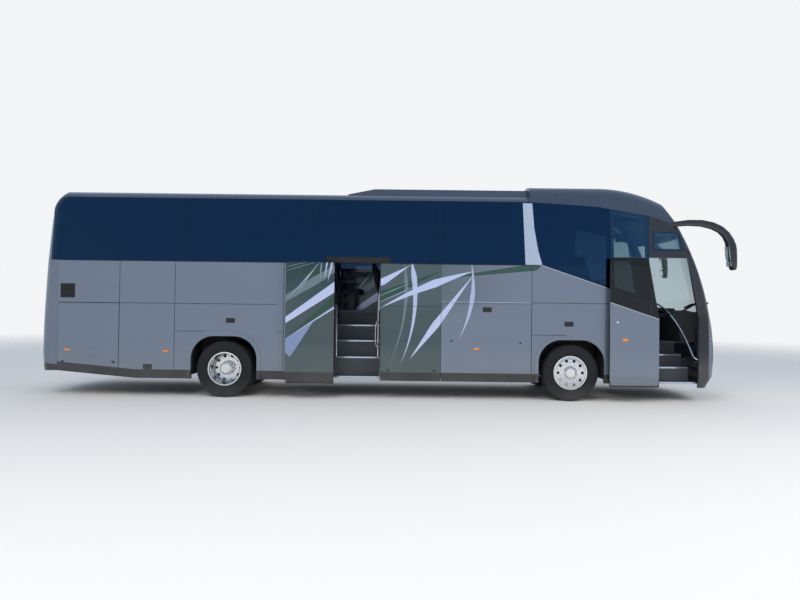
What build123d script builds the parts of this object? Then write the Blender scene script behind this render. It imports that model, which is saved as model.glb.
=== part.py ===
from build123d import *
import os

os.makedirs("parts", exist_ok=True)

# Twelve metre coach, millimetres. +X is forward, +Y is the left side, +Z is up.
# The origin is on the ground, under the middle of the overall box.

# Body form
HALF_WIDTH = 1275.0
FRONT_X = 6275.0
REAR_X = -6345.0
FRONT_CORNER_R = 160.0
REAR_CORNER_R = 240.0
WALL = 45.0
GLASS = 8.0
FLAP_THICKNESS = 30.0
TRIM_THICKNESS = 8.0
WIPER_HEIGHT = 30.0

# Heights
SKIRT_Z = 340.0
REAR_SKIRT_Z = 465.0
SKIRT_RISE_X = -4510.0
WHEEL_SEAM_Z = 1286.0
WAIST_SEAM_Z = 1700.0
BELT_Z = 2475.0
WINDSCREEN_Z = 1600.0
FLOOR_Z = 1620.0
PLATFORM_Z = 1080.0
FLOOR_THICKNESS = 40.0
HOLD_FLOOR_Z = 450.0
ROOF_SHOULDER_Z = 3755.0
ROOF_CROWN_Z = 3785.0
SEAM_Z = 3642.0

# Seams and openings along the side
REAR_SEAM_X = -5927.0
ENGINE_FLAP_X = -4819.0
RADIATOR_X = -3747.0
DOOR_ZONE_X = -1821.0
HOLD_REAR_X = -35.0
HOLD_MIDDLE_X = 1049.0
HOLD_FRONT_X = 2693.0
CAB_X = 4128.0
CORNER_X = 5740.0
BELT_DROP_X = 2875.0
BELT_DROP_SLOPE = 0.335
PANE_SEAMS_X = (-3611.0, -1304.0, 1022.0)
PANE_REAR_X = -6080.0

# The seam between the dark glass and the roof, falling towards the front
ROOF_SEAM = ((2670.0, 3642.0), (3905.0, 3568.0), (4893.0, 3400.0), (5378.0, 3235.0),
             (5800.0, 2980.0))

# Clearances
SEAT = 0.3
PANEL_SEAM = 0.4
PANE_GAP = 6.0
FLAP_GAP = 6.0
DOOR_GAP = 8.0

# Wheels and axles
FRONT_AXLE_X = 3424.0
REAR_AXLE_X = -2898.0
TYRE_R = 520.0
TYRE_HALF_WIDTH = 147.0
TREAD_HALF_WIDTH = 127.0
TREAD_DROP = 17.0
BEAD_HALF_WIDTH = 108.0
BEAD_R = 290.0
FLANGE_R = 307.0
FLANGE_THICKNESS = 10.0
BARREL_THICKNESS = 12.0
WHEEL_INSET = 30.0
TWIN_SPACING = 330.0
SPINDLE_R = 45.0
KINGPIN_INSET = 130.0
KINGPIN_R = 20.0
HAND_HOLE_R = 28.0
HAND_HOLE_PITCH_R = 222.0
HAND_HOLES = 10
ARCH_HALF_WIDTH = 600.0
ARCH_TOP_Z = 1120.0
ARCH_CORNER_R = 420.0
ARCH_LIP_WIDTH = 70.0
ARCH_LIP_OUT = 12.0

WHEEL_Y = HALF_WIDTH - WHEEL_INSET - TYRE_HALF_WIDTH
KINGPIN_Y = WHEEL_Y - KINGPIN_INSET
OUT = HALF_WIDTH + 150.0
SIDES = ((-1, "right"), (1, "left"))

# Heights and set-backs of the nose's and the tail's centre lines
FRONT_PROFILE = ((275.0, 135.0), (480.0, 25.0), (900.0, 0.0), (1600.0, 70.0),
                 (2475.0, 285.0), (3300.0, 640.0))
REAR_PROFILE = ((275.0, 75.0), (480.0, 25.0), (900.0, 0.0), (1600.0, 16.0),
                (2475.0, 62.0), (3400.0, 125.0))
FRONT_BOW_R = 3230.0
REAR_BOW_R = 9000.0
FORM_TOP_Z = 4100.0
TUCK_BOTTOM = 28.0
TUCK_Z = 480.0
BOTTOM_Z = 275.0
SEAM_TUCK = 72.0
SHOULDER_Y = 800.0
# Front roof cap: its crown line in X and Z, and the radius along its sides
CAP_START_X = 2670.0
CAP_CROWN = ((3905.0, 3960.0), (4893.0, 3795.0), (5596.0, 3400.0))
CAP_SIDE_R = 320.0
REAR_ROUND = ((665.0, 3795.0), (275.0, 3690.0), (125.0, 3400.0))


def side_tuck(z):
    """How far the side stands in from the full half width at a height."""
    if z < TUCK_Z:
        return TUCK_BOTTOM * (TUCK_Z - z) / (TUCK_Z - BOTTOM_Z)
    return SEAM_TUCK * max(0.0, z - BELT_Z) / (SEAM_Z - BELT_Z)


def turned_end(points, axis_x, far_x):
    """A bowed end, turned about an upright axis, with everything beyond its axis."""
    with BuildPart() as end:
        with BuildSketch(Plane.XZ):
            with BuildLine():
                low, tuck, nose, waist, belt, top = points
                Polyline((axis_x, BOTTOM_Z), low, tuck)
                # Both arcs leave the foremost or rearmost point upright.
                TangentArc(nose, tuck, tangent=(0, -1))
                TangentArc(nose, waist, tangent=(0, 1))
                ThreePointArc(waist, belt, top)
                if far_x > axis_x:
                    ThreePointArc(top, (REAR_X + REAR_ROUND[1][0], REAR_ROUND[1][1]),
                                  (REAR_X + REAR_ROUND[0][0], REAR_ROUND[0][1]))
                    Polyline((REAR_X + REAR_ROUND[0][0], REAR_ROUND[0][1]),
                             (REAR_X + REAR_ROUND[0][0], FORM_TOP_Z), (axis_x, FORM_TOP_Z),
                             (axis_x, BOTTOM_Z))
                else:
                    Polyline(top, (top[0] - 560, FORM_TOP_Z), (axis_x, FORM_TOP_Z),
                             (axis_x, BOTTOM_Z))
            make_face()
        revolve(axis=Axis((axis_x, 0, 0), (0, 0, 1)))
        with Locations(((axis_x + far_x) / 2, 0, (FORM_TOP_Z + BOTTOM_Z) / 2)):
            Box(abs(far_x - axis_x), 2 * FRONT_BOW_R, FORM_TOP_Z - BOTTOM_Z)
    return end.part


def body_form(inset):
    """The closed outer form of the body, moved in by an inset."""
    half = HALF_WIDTH - inset
    top_half = half - side_tuck(FORM_TOP_Z)
    nose = [(FRONT_X - back - inset, z) for z, back in FRONT_PROFILE]
    tail = [(REAR_X + back + inset, z) for z, back in REAR_PROFILE]
    with BuildPart() as form:
        with BuildSketch(Plane.YZ.offset(REAR_X - 100)):
            with BuildLine():
                Polyline((-top_half, FORM_TOP_Z), (-half, BELT_Z), (-half, TUCK_Z),
                         (-half + TUCK_BOTTOM, BOTTOM_Z), (half - TUCK_BOTTOM, BOTTOM_Z),
                         (half, TUCK_Z), (half, BELT_Z), (top_half, FORM_TOP_Z), close=True)
            make_face()
        extrude(amount=FRONT_X - REAR_X + 200)
        add(turned_end(nose, FRONT_X - FRONT_BOW_R, REAR_X - 200), mode=Mode.INTERSECT)
        add(turned_end(tail, REAR_X + REAR_BOW_R, FRONT_X + 200), mode=Mode.INTERSECT)
        # The roof meets both ends without a corner, so only the upright edges are rounded.
        corners = form.edges().filter_by(
            lambda edge: edge.bounding_box().size.Z > 60 and abs(edge.center().Y) > half - 120)
        fillet(corners.filter_by(lambda edge: edge.center().X > 5200), FRONT_CORNER_R - inset)
        corners = form.edges().filter_by(
            lambda edge: edge.bounding_box().size.Z > 60 and abs(edge.center().Y) > half - 120
            and edge.center().X < PANE_REAR_X)
        fillet(corners, REAR_CORNER_R - inset)
        add(roof_form(inset), mode=Mode.INTERSECT)
    return form.part


def roof_form(inset):
    """Everything under the roof: the main roof with its coves and the raised front cap."""
    main_half = HALF_WIDTH - SEAM_TUCK + 1 - inset
    cove = (main_half - 110, (SEAM_Z + ROOF_SHOULDER_Z) / 2 + 32 - inset)
    shoulder = (SHOULDER_Y, ROOF_SHOULDER_Z - inset)
    with BuildPart() as roof:
        with BuildSketch(Plane.YZ.offset(REAR_X - 100)):
            with BuildLine():
                ThreePointArc((main_half, SEAM_Z), cove, shoulder)
                ThreePointArc(shoulder, (0, ROOF_CROWN_Z - inset), (-shoulder[0], shoulder[1]))
                ThreePointArc((-shoulder[0], shoulder[1]), (-cove[0], cove[1]),
                              (-main_half, SEAM_Z))
                Polyline((-main_half, SEAM_Z), (-OUT, SEAM_Z), (-OUT, 0), (OUT, 0),
                         (OUT, SEAM_Z), (main_half, SEAM_Z))
            make_face()
        extrude(amount=CAP_START_X + inset + 50 - REAR_X + 100)
        add(cap_form(inset))
    return roof.part


def cap_form(inset):
    """Everything under the raised front roof cap, rounded along its sides."""
    crown = [(x, z - inset) for x, z in CAP_CROWN]
    foot_half = HALF_WIDTH + 3 - inset
    top_half = HALF_WIDTH + 3 - side_tuck(FORM_TOP_Z) - inset
    start = CAP_START_X + inset
    with BuildPart() as cap:
        with BuildSketch(Plane.XZ.offset(-OUT)):
            with BuildLine():
                Polyline(crown[2], (FRONT_X + 100, crown[2][1] - 480), (FRONT_X + 100, 0),
                         (start, 0), (start, crown[0][1]), crown[0])
                ThreePointArc(crown[0], crown[1], crown[2])
            make_face()
        extrude(amount=2 * OUT)
        with BuildSketch(Plane.YZ.offset(start)):
            with BuildLine():
                Polyline((-top_half, FORM_TOP_Z), (-foot_half, BELT_Z), (-foot_half, 0),
                         (foot_half, 0), (foot_half, BELT_Z), (top_half, FORM_TOP_Z), close=True)
            make_face()
        extrude(amount=FRONT_X + 100 - start, mode=Mode.INTERSECT)
        sides = cap.edges().filter_by(
            lambda edge: edge.center().Z > 3000 and edge.bounding_box().size.X > 600
            and abs(edge.center().Y) > foot_half - 300)
        fillet(sides, CAP_SIDE_R - inset)
    return cap.part


def side_region(points, side, gap=0.0, depth=500.0):
    """A prism over one side of the body, from points in X and Z, drawn in by a gap."""
    start = HALF_WIDTH + 120 - depth if side < 0 else -(HALF_WIDTH + 120)
    with BuildPart() as region:
        with BuildSketch(Plane.XZ.offset(start)):
            with BuildLine():
                Polyline(*points, close=True)
            make_face()
            if gap:
                offset(amount=-gap, kind=Kind.INTERSECTION)
        extrude(amount=depth)
    return region.part


def box_points(x0, x1, z0, z1):
    """Corner points of an upright rectangle in X and Z."""
    return ((x0, z0), (x1, z0), (x1, z1), (x0, z1))


def cross_region(points):
    """A prism over the whole width, from points in X and Z."""
    with BuildPart() as region:
        with BuildSketch(Plane.XZ.offset(-OUT)):
            with BuildLine():
                Polyline(*points, close=True)
            make_face()
        extrude(amount=2 * OUT)
    return region.part


def end_region(points, x0, x1, gap=0.0):
    """A prism along the bus, from points in Y and Z, drawn in by a gap."""
    with BuildPart() as region:
        with BuildSketch(Plane.YZ.offset(x0)):
            with BuildLine():
                Polyline(*points, close=True)
            make_face()
            if gap:
                offset(amount=-gap, kind=Kind.INTERSECTION)
        extrude(amount=x1 - x0)
    return region.part


def block(x0, x1, y0, y1, z0, z1):
    """A plain block between six planes."""
    with BuildPart() as solid:
        with Locations(((x0 + x1) / 2, (y0 + y1) / 2, (z0 + z1) / 2)):
            Box(x1 - x0, y1 - y0, z1 - z0)
    return solid.part


def skirt_z(x):
    """Lower edge of the side at a place along the bus."""
    if x >= SKIRT_RISE_X:
        return SKIRT_Z
    rise = (REAR_SKIRT_Z - SKIRT_Z) / (SKIRT_RISE_X - REAR_SEAM_X)
    return SKIRT_Z + rise * (SKIRT_RISE_X - x)


def belt_z(x):
    """Lower edge of the dark glass at a place along the bus."""
    return BELT_Z - BELT_DROP_SLOPE * max(0.0, x - BELT_DROP_X)


def roof_seam_z(x):
    """Upper edge of the dark glass at a place along the bus."""
    for (low_x, low), (high_x, high) in zip(ROOF_SEAM, ROOF_SEAM[1:]):
        if x <= high_x:
            return low + (high - low) * max(0.0, x - low_x) / (high_x - low_x)
    return ROOF_SEAM[-1][1]


OUTER = body_form(0)
GLASS_BACK = body_form(GLASS)
UNDER_GLASS = body_form(GLASS + SEAT)
UNDER_FLAP = body_form(FLAP_THICKNESS)
INNER = body_form(WALL)
LINING = body_form(WALL + SEAT)
OVER_GLASS = body_form(-SEAT)
TRIM_OUT = body_form(-TRIM_THICKNESS)
WIPER_OUT = body_form(-WIPER_HEIGHT)


def skin(outer, inner, region):
    """The layer between two forms inside a region."""
    with BuildPart() as layer:
        add(region)
        add(outer, mode=Mode.INTERSECT)
        add(inner, mode=Mode.SUBTRACT)
    return layer.part


def export(part, name):
    """Label a finished piece and write it."""
    part.label = name
    export_step(part, f"parts/{name}.step")


# Doors: the closed panel's place, and how far it stands back and out when open
DOOR_BOTTOM_Z = 298.0
MIDDLE_DOOR_X = (-938.0, -68.0)
MIDDLE_DOOR_TRAVEL = 822.0
FRONT_DOOR_X = (4845.0, 5728.0)
FRONT_DOOR_TRAVEL = 765.0
FRONT_DOOR_TOP_Z = 2630.0
DOOR_OFFSET = 130.0
DOOR_CLEARANCE = 7.0
DOOR_WINDOW_MARGIN = 70.0
ARM_DEPTH = 100.0
POST_R = 20.0
POST_INSET = 45.0
ARM_HALF_WIDTH = 14.0
ARM_HEIGHT = 50.0
ARM_BEND_R = 60.0
DOOR_PIVOT_DEPTH = 30.0
PIVOT_R = 12.0
ARM_LEVELS_Z = (900.0, 1500.0)
POST_TOP_Z = 1700.0
BRACKET_LENGTH = 60.0
BRACKET_REACH = 30.0
BRACKET_EDGE = 5.0
LAYER = 12.0
LAYER_STEP = 18.0

# Stairs
TREAD_THICKNESS = 30.0
MIDDLE_TREADS_Z = (410.0, 745.0, 1040.0, 1330.0)
FRONT_TREADS_Z = (370.0, 620.0, 840.0)
TREAD_DEPTH = 285.0
STAIR_EDGE_Y = HALF_WIDTH - WALL - TUCK_BOTTOM - DOOR_CLEARANCE

# Cabin
FLOOR_REAR_X = -6150.0
CABIN_HALF = HALF_WIDTH - WALL + 10.0
SEAT_PITCH = 790.0
SEAT_PAIR_WIDTH = 900.0
SEAT_WALL_GAP = 30.0
RACK_Z = 3180.0
PILLAR_HALF = 45.0


def door_linkage(travel):
    """Reach of the arm's end ahead of and behind its post, with the door closed and open."""
    spread = ((ARM_DEPTH + DOOR_OFFSET) ** 2 - ARM_DEPTH ** 2) / travel
    return (travel + spread) / 2, (travel - spread) / 2


def flap_polygon(x0, x1, top, gap):
    """Outline of a flap or panel that follows the skirt line."""
    bends = [x for x in (SKIRT_RISE_X,) if x0 < x < x1]
    lower = [(x0 + gap, skirt_z(x0))] + [(x, skirt_z(x)) for x in bends]
    return (*lower, (x1 - gap, skirt_z(x1)), (x1 - gap, top), (x0 + gap, top))


# Tyres and rims
BEAD_LIP_R = FLANGE_R + 5
SIDEWALL_R = (FLANGE_R + TYRE_R) / 2 - 14
for axle, axle_x, offsets in (("front", FRONT_AXLE_X, (0.0,)),
                              ("rear", REAR_AXLE_X, (0.0, -TWIN_SPACING))):
    for sign, side in SIDES:
        axis = Axis((axle_x, 0, TYRE_R), (0, 1, 0))
        with BuildPart() as tyre:
            for shift in offsets:
                section = Plane(origin=(axle_x, sign * (WHEEL_Y + shift), TYRE_R),
                                x_dir=(0, 1, 0), z_dir=(1, 0, 0))
                with BuildSketch(section):
                    with BuildLine():
                        Line((-BEAD_HALF_WIDTH, BEAD_R + SEAT), (-BEAD_HALF_WIDTH, BEAD_LIP_R))
                        ThreePointArc((-BEAD_HALF_WIDTH, BEAD_LIP_R),
                                      (-TYRE_HALF_WIDTH, SIDEWALL_R),
                                      (-TREAD_HALF_WIDTH, TYRE_R - TREAD_DROP))
                        ThreePointArc((-TREAD_HALF_WIDTH, TYRE_R - TREAD_DROP), (0, TYRE_R),
                                      (TREAD_HALF_WIDTH, TYRE_R - TREAD_DROP))
                        ThreePointArc((TREAD_HALF_WIDTH, TYRE_R - TREAD_DROP),
                                      (TYRE_HALF_WIDTH, SIDEWALL_R),
                                      (BEAD_HALF_WIDTH, BEAD_LIP_R))
                        Polyline((BEAD_HALF_WIDTH, BEAD_LIP_R), (BEAD_HALF_WIDTH, BEAD_R + SEAT),
                                 (-BEAD_HALF_WIDTH, BEAD_R + SEAT))
                    make_face()
                revolve(axis=axis)
        name = f"front_tyre_{side}" if axle == "front" else f"rear_tyres_{side}"
        export(tyre.part, name)

# Rim profiles: distance outboard of the outer tyre's middle, radius
FLANGE_OUT = BEAD_HALF_WIDTH + SEAT + FLANGE_THICKNESS
BARREL_R = BEAD_R - BARREL_THICKNESS
SPINDLE_BORE_R = SPINDLE_R + SEAT
FRONT_HUB_END = -20.0
FRONT_SPINDLE_END = 60.0
REAR_HUB_END = -360.0
REAR_SPINDLE_END = -100.0
BEAD_EDGE = BEAD_HALF_WIDTH + SEAT
FRONT_RIM = (
    (-FLANGE_OUT, FLANGE_R), (-BEAD_EDGE, FLANGE_R), (-BEAD_EDGE, BEAD_R), (BEAD_EDGE, BEAD_R),
    (BEAD_EDGE, FLANGE_R), (FLANGE_OUT, FLANGE_R), (FLANGE_OUT, BARREL_R + 8),
    (104.0, BARREL_R), (112.0, 240.0), (104.0, 178.0), (100.0, 128.0), (112.0, 104.0),
    (136.0, 96.0), (146.0, 78.0), (146.0, 0.0), (FRONT_SPINDLE_END, 0.0),
    (FRONT_SPINDLE_END, SPINDLE_BORE_R), (FRONT_HUB_END, SPINDLE_BORE_R),
    (FRONT_HUB_END, 128.0), (84.0, 168.0), (94.0, 236.0), (76.0, BARREL_R - 8),
    (-FLANGE_OUT, BARREL_R),
)
TWIN = -TWIN_SPACING
MATE = TWIN / 2
REAR_RIM = (
    (TWIN - FLANGE_OUT, FLANGE_R), (TWIN - BEAD_EDGE, FLANGE_R), (TWIN - BEAD_EDGE, BEAD_R),
    (TWIN + BEAD_EDGE, BEAD_R), (TWIN + BEAD_EDGE, FLANGE_R), (TWIN + FLANGE_OUT, FLANGE_R),
    (TWIN + FLANGE_OUT, BARREL_R), (MATE - 10, 200.0), (MATE + 10, 200.0),
    (-FLANGE_OUT, BARREL_R), (-FLANGE_OUT, FLANGE_R), (-BEAD_EDGE, FLANGE_R),
    (-BEAD_EDGE, BEAD_R), (BEAD_EDGE, BEAD_R), (BEAD_EDGE, FLANGE_R), (FLANGE_OUT, FLANGE_R),
    (FLANGE_OUT, BARREL_R + 8), (96.0, BARREL_R), (-76.0, BARREL_R - 8), (-136.0, 240.0),
    (-146.0, 196.0), (-146.0, 138.0), (-60.0, 126.0), (30.0, 112.0), (52.0, 84.0),
    (52.0, 0.0), (REAR_SPINDLE_END, 0.0), (REAR_SPINDLE_END, SPINDLE_BORE_R),
    (REAR_HUB_END, SPINDLE_BORE_R), (REAR_HUB_END, 138.0), (MATE - 19, 138.0),
    (MATE - 19, 196.0), (MATE - 29, 240.0), (TWIN + 60, BARREL_R - 8),
    (TWIN - FLANGE_OUT, BARREL_R),
)
for axle_x, profile, disc_out, stem in ((FRONT_AXLE_X, FRONT_RIM, 98.0, "front_rim"),
                                        (REAR_AXLE_X, REAR_RIM, MATE, "rear_rims")):
    for sign, side in SIDES:
        with BuildPart() as rim:
            section = Plane(origin=(axle_x, sign * WHEEL_Y, TYRE_R),
                            x_dir=(0, 1, 0), z_dir=(1, 0, 0))
            with BuildSketch(section):
                with BuildLine():
                    Polyline(*((sign * out, radius) for out, radius in profile), close=True)
                make_face()
            revolve(axis=Axis((axle_x, 0, TYRE_R), (0, 1, 0)))
            disc = Plane(origin=(axle_x, sign * (WHEEL_Y + disc_out), TYRE_R),
                         x_dir=(1, 0, 0), z_dir=(0, 1, 0))
            with BuildSketch(disc):
                with PolarLocations(HAND_HOLE_PITCH_R, HAND_HOLES):
                    Circle(HAND_HOLE_R)
            extrude(amount=36, both=True, mode=Mode.SUBTRACT)
        export(rim.part, f"{stem}_{side}")

# Front axle beam, knuckles and rear axle
YOKE_Z = (395.0, 645.0)
YOKE_THICKNESS = 30.0
KNUCKLE_HALF = 48.0
BEAM_Z = 430.0
for sign, side in SIDES:
    with BuildPart() as knuckle:
        centre_z = (YOKE_Z[0] + YOKE_Z[1]) / 2
        with Locations((FRONT_AXLE_X, sign * KINGPIN_Y, centre_z)):
            Box(2 * KNUCKLE_HALF, 2 * KNUCKLE_HALF, YOKE_Z[1] - YOKE_Z[0] - 2 * SEAT)
            Cylinder(KINGPIN_R, YOKE_Z[1] - YOKE_Z[0] + 2 * YOKE_THICKNESS)
        spindle = Plane(origin=(FRONT_AXLE_X, sign * KINGPIN_Y, TYRE_R),
                        x_dir=(1, 0, 0), z_dir=(0, sign, 0))
        with BuildSketch(spindle):
            Circle(SPINDLE_R)
        extrude(amount=KINGPIN_INSET + FRONT_SPINDLE_END - SEAT)
    export(knuckle.part, f"knuckle_{side}")

with BuildPart() as front_axle:
    with Locations((FRONT_AXLE_X, 0, BEAM_Z)):
        Box(130, 2 * KINGPIN_Y - 300, 110)
    for sign, side in SIDES:
        with Locations((FRONT_AXLE_X, sign * (KINGPIN_Y - 130), (YOKE_Z[0] + YOKE_Z[1]) / 2)):
            Box(130, 100, YOKE_Z[1] - YOKE_Z[0] + 2 * YOKE_THICKNESS)
        for z, lift in ((YOKE_Z[0], -1), (YOKE_Z[1], 1)):
            with Locations((FRONT_AXLE_X, sign * (KINGPIN_Y - 40), z + lift * YOKE_THICKNESS / 2)):
                Box(110, 180, YOKE_THICKNESS)
    with Locations(*((FRONT_AXLE_X, sign * KINGPIN_Y, TYRE_R) for sign, side in SIDES)):
        Cylinder(KINGPIN_R + SEAT, 600, mode=Mode.SUBTRACT)
    # Air springs stand on the beam and carry the frame.
    with Locations(*((FRONT_AXLE_X, sign * 390, 542.5) for sign, side in SIDES)):
        Cylinder(110, 115)
export(front_axle.part, "front_axle")

RAIL_Z = (600.0, 760.0)
RAIL_Y = (350.0, 430.0)
REAR_RAIL_Z = 760.0
AXLE_TUBE_R = 75.0
HUB_INNER_Y = WHEEL_Y + REAR_HUB_END
with BuildPart() as rear_axle:
    tube = Plane(origin=(REAR_AXLE_X, 0, TYRE_R), x_dir=(1, 0, 0), z_dir=(0, 1, 0))
    with BuildSketch(tube):
        Circle(AXLE_TUBE_R)
    extrude(amount=HUB_INNER_Y - 8, both=True)
    with BuildSketch(tube):
        Circle(SPINDLE_R)
    extrude(amount=WHEEL_Y + REAR_SPINDLE_END - SEAT, both=True)
    with BuildSketch(tube):
        Circle(190)
    extrude(amount=120, both=True)
    with Locations((REAR_AXLE_X, 0, TYRE_R)):
        Cylinder(150, 330, rotation=(0, 90, 0))
    for dx in (-420, 420):
        with Locations((REAR_AXLE_X + dx / 2, 0, TYRE_R)):
            with Locations(*((0, sign * 390, -60) for sign, side in SIDES)):
                Box(abs(dx) + 200, 70, 60)
        with Locations(*((REAR_AXLE_X + dx, sign * 390, (TYRE_R - 30 + REAR_RAIL_Z) / 2)
                         for sign, side in SIDES)):
            Cylinder(120, REAR_RAIL_Z - TYRE_R + 30)
export(rear_axle.part, "rear_axle")

# Frame: rails over the axles, a deck under the hold and uprights between them
FRAME_FRONT_X = 6020.0
FRAME_REAR_X = -6080.0
HOLD_WALL_X = (-50.0, 2700.0)
DECK_Z = (400.0, HOLD_FLOOR_Z)
BUMPER_HORN_LENGTH = 120.0
BUMPER_HORN_Z = 475.0
BEAM_HALF = 40.0
SILL_HALF = 30.0
SILL_Y = 1180.0
DECK_REAR_X = -1930.0
DECK_FRONT_X = 2760.0
REAR_RAIL_HEIGHT = 160.0
RAIL_LIP = 20.0
REAR_BEAM_HALF_Y = 560.0
STAIRWELL_X = (-960.0, -55.0)
STAIRWELL_BEHIND_Y = -STAIR_EDGE_Y + TREAD_DEPTH + TREAD_THICKNESS + DOOR_CLEARANCE
STAIRWELL_BEAM_X = -900.0
CROSS_MEMBERS_X = (-1890.0, 300.0, 1350.0, 2400.0)
# Where each cross beam between the front rails stands, and how far it reaches sideways
FRONT_BEAMS = ((4250.0, 1000.0), (5100.0, 350.0), (FRAME_FRONT_X - 60.0, 800.0))
REAR_BEAMS_X = (-2300.0, -3600.0, -4600.0, -5960.0)
with BuildPart() as chassis_frame:
    for sign, side in SIDES:
        inner, outer = sorted((sign * RAIL_Y[0], sign * RAIL_Y[1]))
        for x0, x1, z0, z1 in (
                (HOLD_WALL_X[1], FRAME_FRONT_X, *RAIL_Z),
                (FRAME_REAR_X, DECK_REAR_X + 2 * BEAM_HALF, REAR_RAIL_Z,
                 REAR_RAIL_Z + REAR_RAIL_HEIGHT),
                (DECK_REAR_X, DECK_FRONT_X, *DECK_Z),
                (DECK_REAR_X, DECK_REAR_X + 2 * BEAM_HALF, DECK_Z[0],
                 REAR_RAIL_Z + REAR_RAIL_HEIGHT),
                (HOLD_WALL_X[1] + SEAT, HOLD_WALL_X[1] + 2 * BEAM_HALF, DECK_Z[0], RAIL_Z[1]),
                (FRAME_FRONT_X - BUMPER_HORN_LENGTH, FRAME_FRONT_X, BUMPER_HORN_Z, RAIL_Z[0])):
            add(block(x0, x1, inner, outer, z0, z1))
    for x in CROSS_MEMBERS_X:
        add(block(x - BEAM_HALF, x + BEAM_HALF, -SILL_Y, SILL_Y, *DECK_Z))
    # The right sill is broken by the stairwell, and a cross member ends behind the stairs.
    add(block(STAIRWELL_BEAM_X - BEAM_HALF, STAIRWELL_BEAM_X + BEAM_HALF, STAIRWELL_BEHIND_Y,
              SILL_Y, *DECK_Z))
    for y, x0, x1 in ((SILL_Y, DECK_REAR_X, DECK_FRONT_X),
                      (-SILL_Y, DECK_REAR_X, STAIRWELL_X[0]),
                      (-SILL_Y, STAIRWELL_X[1], DECK_FRONT_X)):
        add(block(x0, x1, y - SILL_HALF, y + SILL_HALF, *DECK_Z))
    for x, half in FRONT_BEAMS:
        add(block(x - BEAM_HALF, x + BEAM_HALF, -half, half, RAIL_Z[0] + RAIL_LIP,
                  RAIL_Z[1] - RAIL_LIP))
    for x in REAR_BEAMS_X:
        add(block(x - BEAM_HALF, x + BEAM_HALF, -REAR_BEAM_HALF_Y, REAR_BEAM_HALF_Y,
                  REAR_RAIL_Z + RAIL_LIP, REAR_RAIL_Z + REAR_RAIL_HEIGHT - RAIL_LIP))
export(chassis_frame.part, "chassis_frame")

with BuildPart() as engine_block:
    add(block(-5850, -4750, -330, 330, REAR_RAIL_Z - 120, 1500))
    fillet(engine_block.edges().filter_by(Axis.X), 60)
    add(block(-5850, -4750, -RAIL_Y[0] + SEAT, RAIL_Y[0] - SEAT, REAR_RAIL_Z + 40,
              REAR_RAIL_Z + 100))
export(engine_block.part, "engine_block")

# Wheel housings, open below and outward, notched for the axles
HOUSING_HALF = ARCH_HALF_WIDTH + 30.0
HOUSING_TOP_Z = 1170.0
HOUSING_WALL = 6.0
with BuildPart() as wheel_housings:
    for axle_x, inner_y, notch_z in ((FRONT_AXLE_X, 575.0, RAIL_Z[1]),
                                     (REAR_AXLE_X, 592.0, REAR_RAIL_Z)):
        for sign, side in SIDES:
            reach = HALF_WIDTH - WALL - SEAT - 4 - inner_y
            middle = sign * (inner_y + reach / 2)
            with Locations((axle_x, middle, (SKIRT_Z + 60 + HOUSING_TOP_Z) / 2)):
                Box(2 * HOUSING_HALF, reach, HOUSING_TOP_Z - SKIRT_Z - 60)
            with Locations((axle_x, middle + sign * HOUSING_WALL,
                            (SKIRT_Z + 60 + HOUSING_TOP_Z) / 2 - HOUSING_WALL)):
                Box(2 * (HOUSING_HALF - HOUSING_WALL), reach, HOUSING_TOP_Z - SKIRT_Z - 60,
                    mode=Mode.SUBTRACT)
            with Locations((axle_x, sign * inner_y, notch_z / 2)):
                Box(620, 120, notch_z, mode=Mode.SUBTRACT)
    add(LINING, mode=Mode.INTERSECT)
export(wheel_housings.part, "wheel_housings")

# Luggage hold: floor and end walls between the flaps
with BuildPart() as luggage_hold:
    hold_half = HALF_WIDTH - WALL
    add(block(*HOLD_WALL_X, -hold_half, hold_half, HOLD_FLOOR_Z, HOLD_FLOOR_Z + 25))
    for x in (HOLD_WALL_X[0], HOLD_MIDDLE_X - 12, HOLD_WALL_X[1] - 24):
        add(block(x, x + 24, -hold_half, hold_half, HOLD_FLOOR_Z, FLOOR_Z - FLOOR_THICKNESS))
    add(LINING, mode=Mode.INTERSECT)
export(luggage_hold.part, "luggage_hold")

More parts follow.
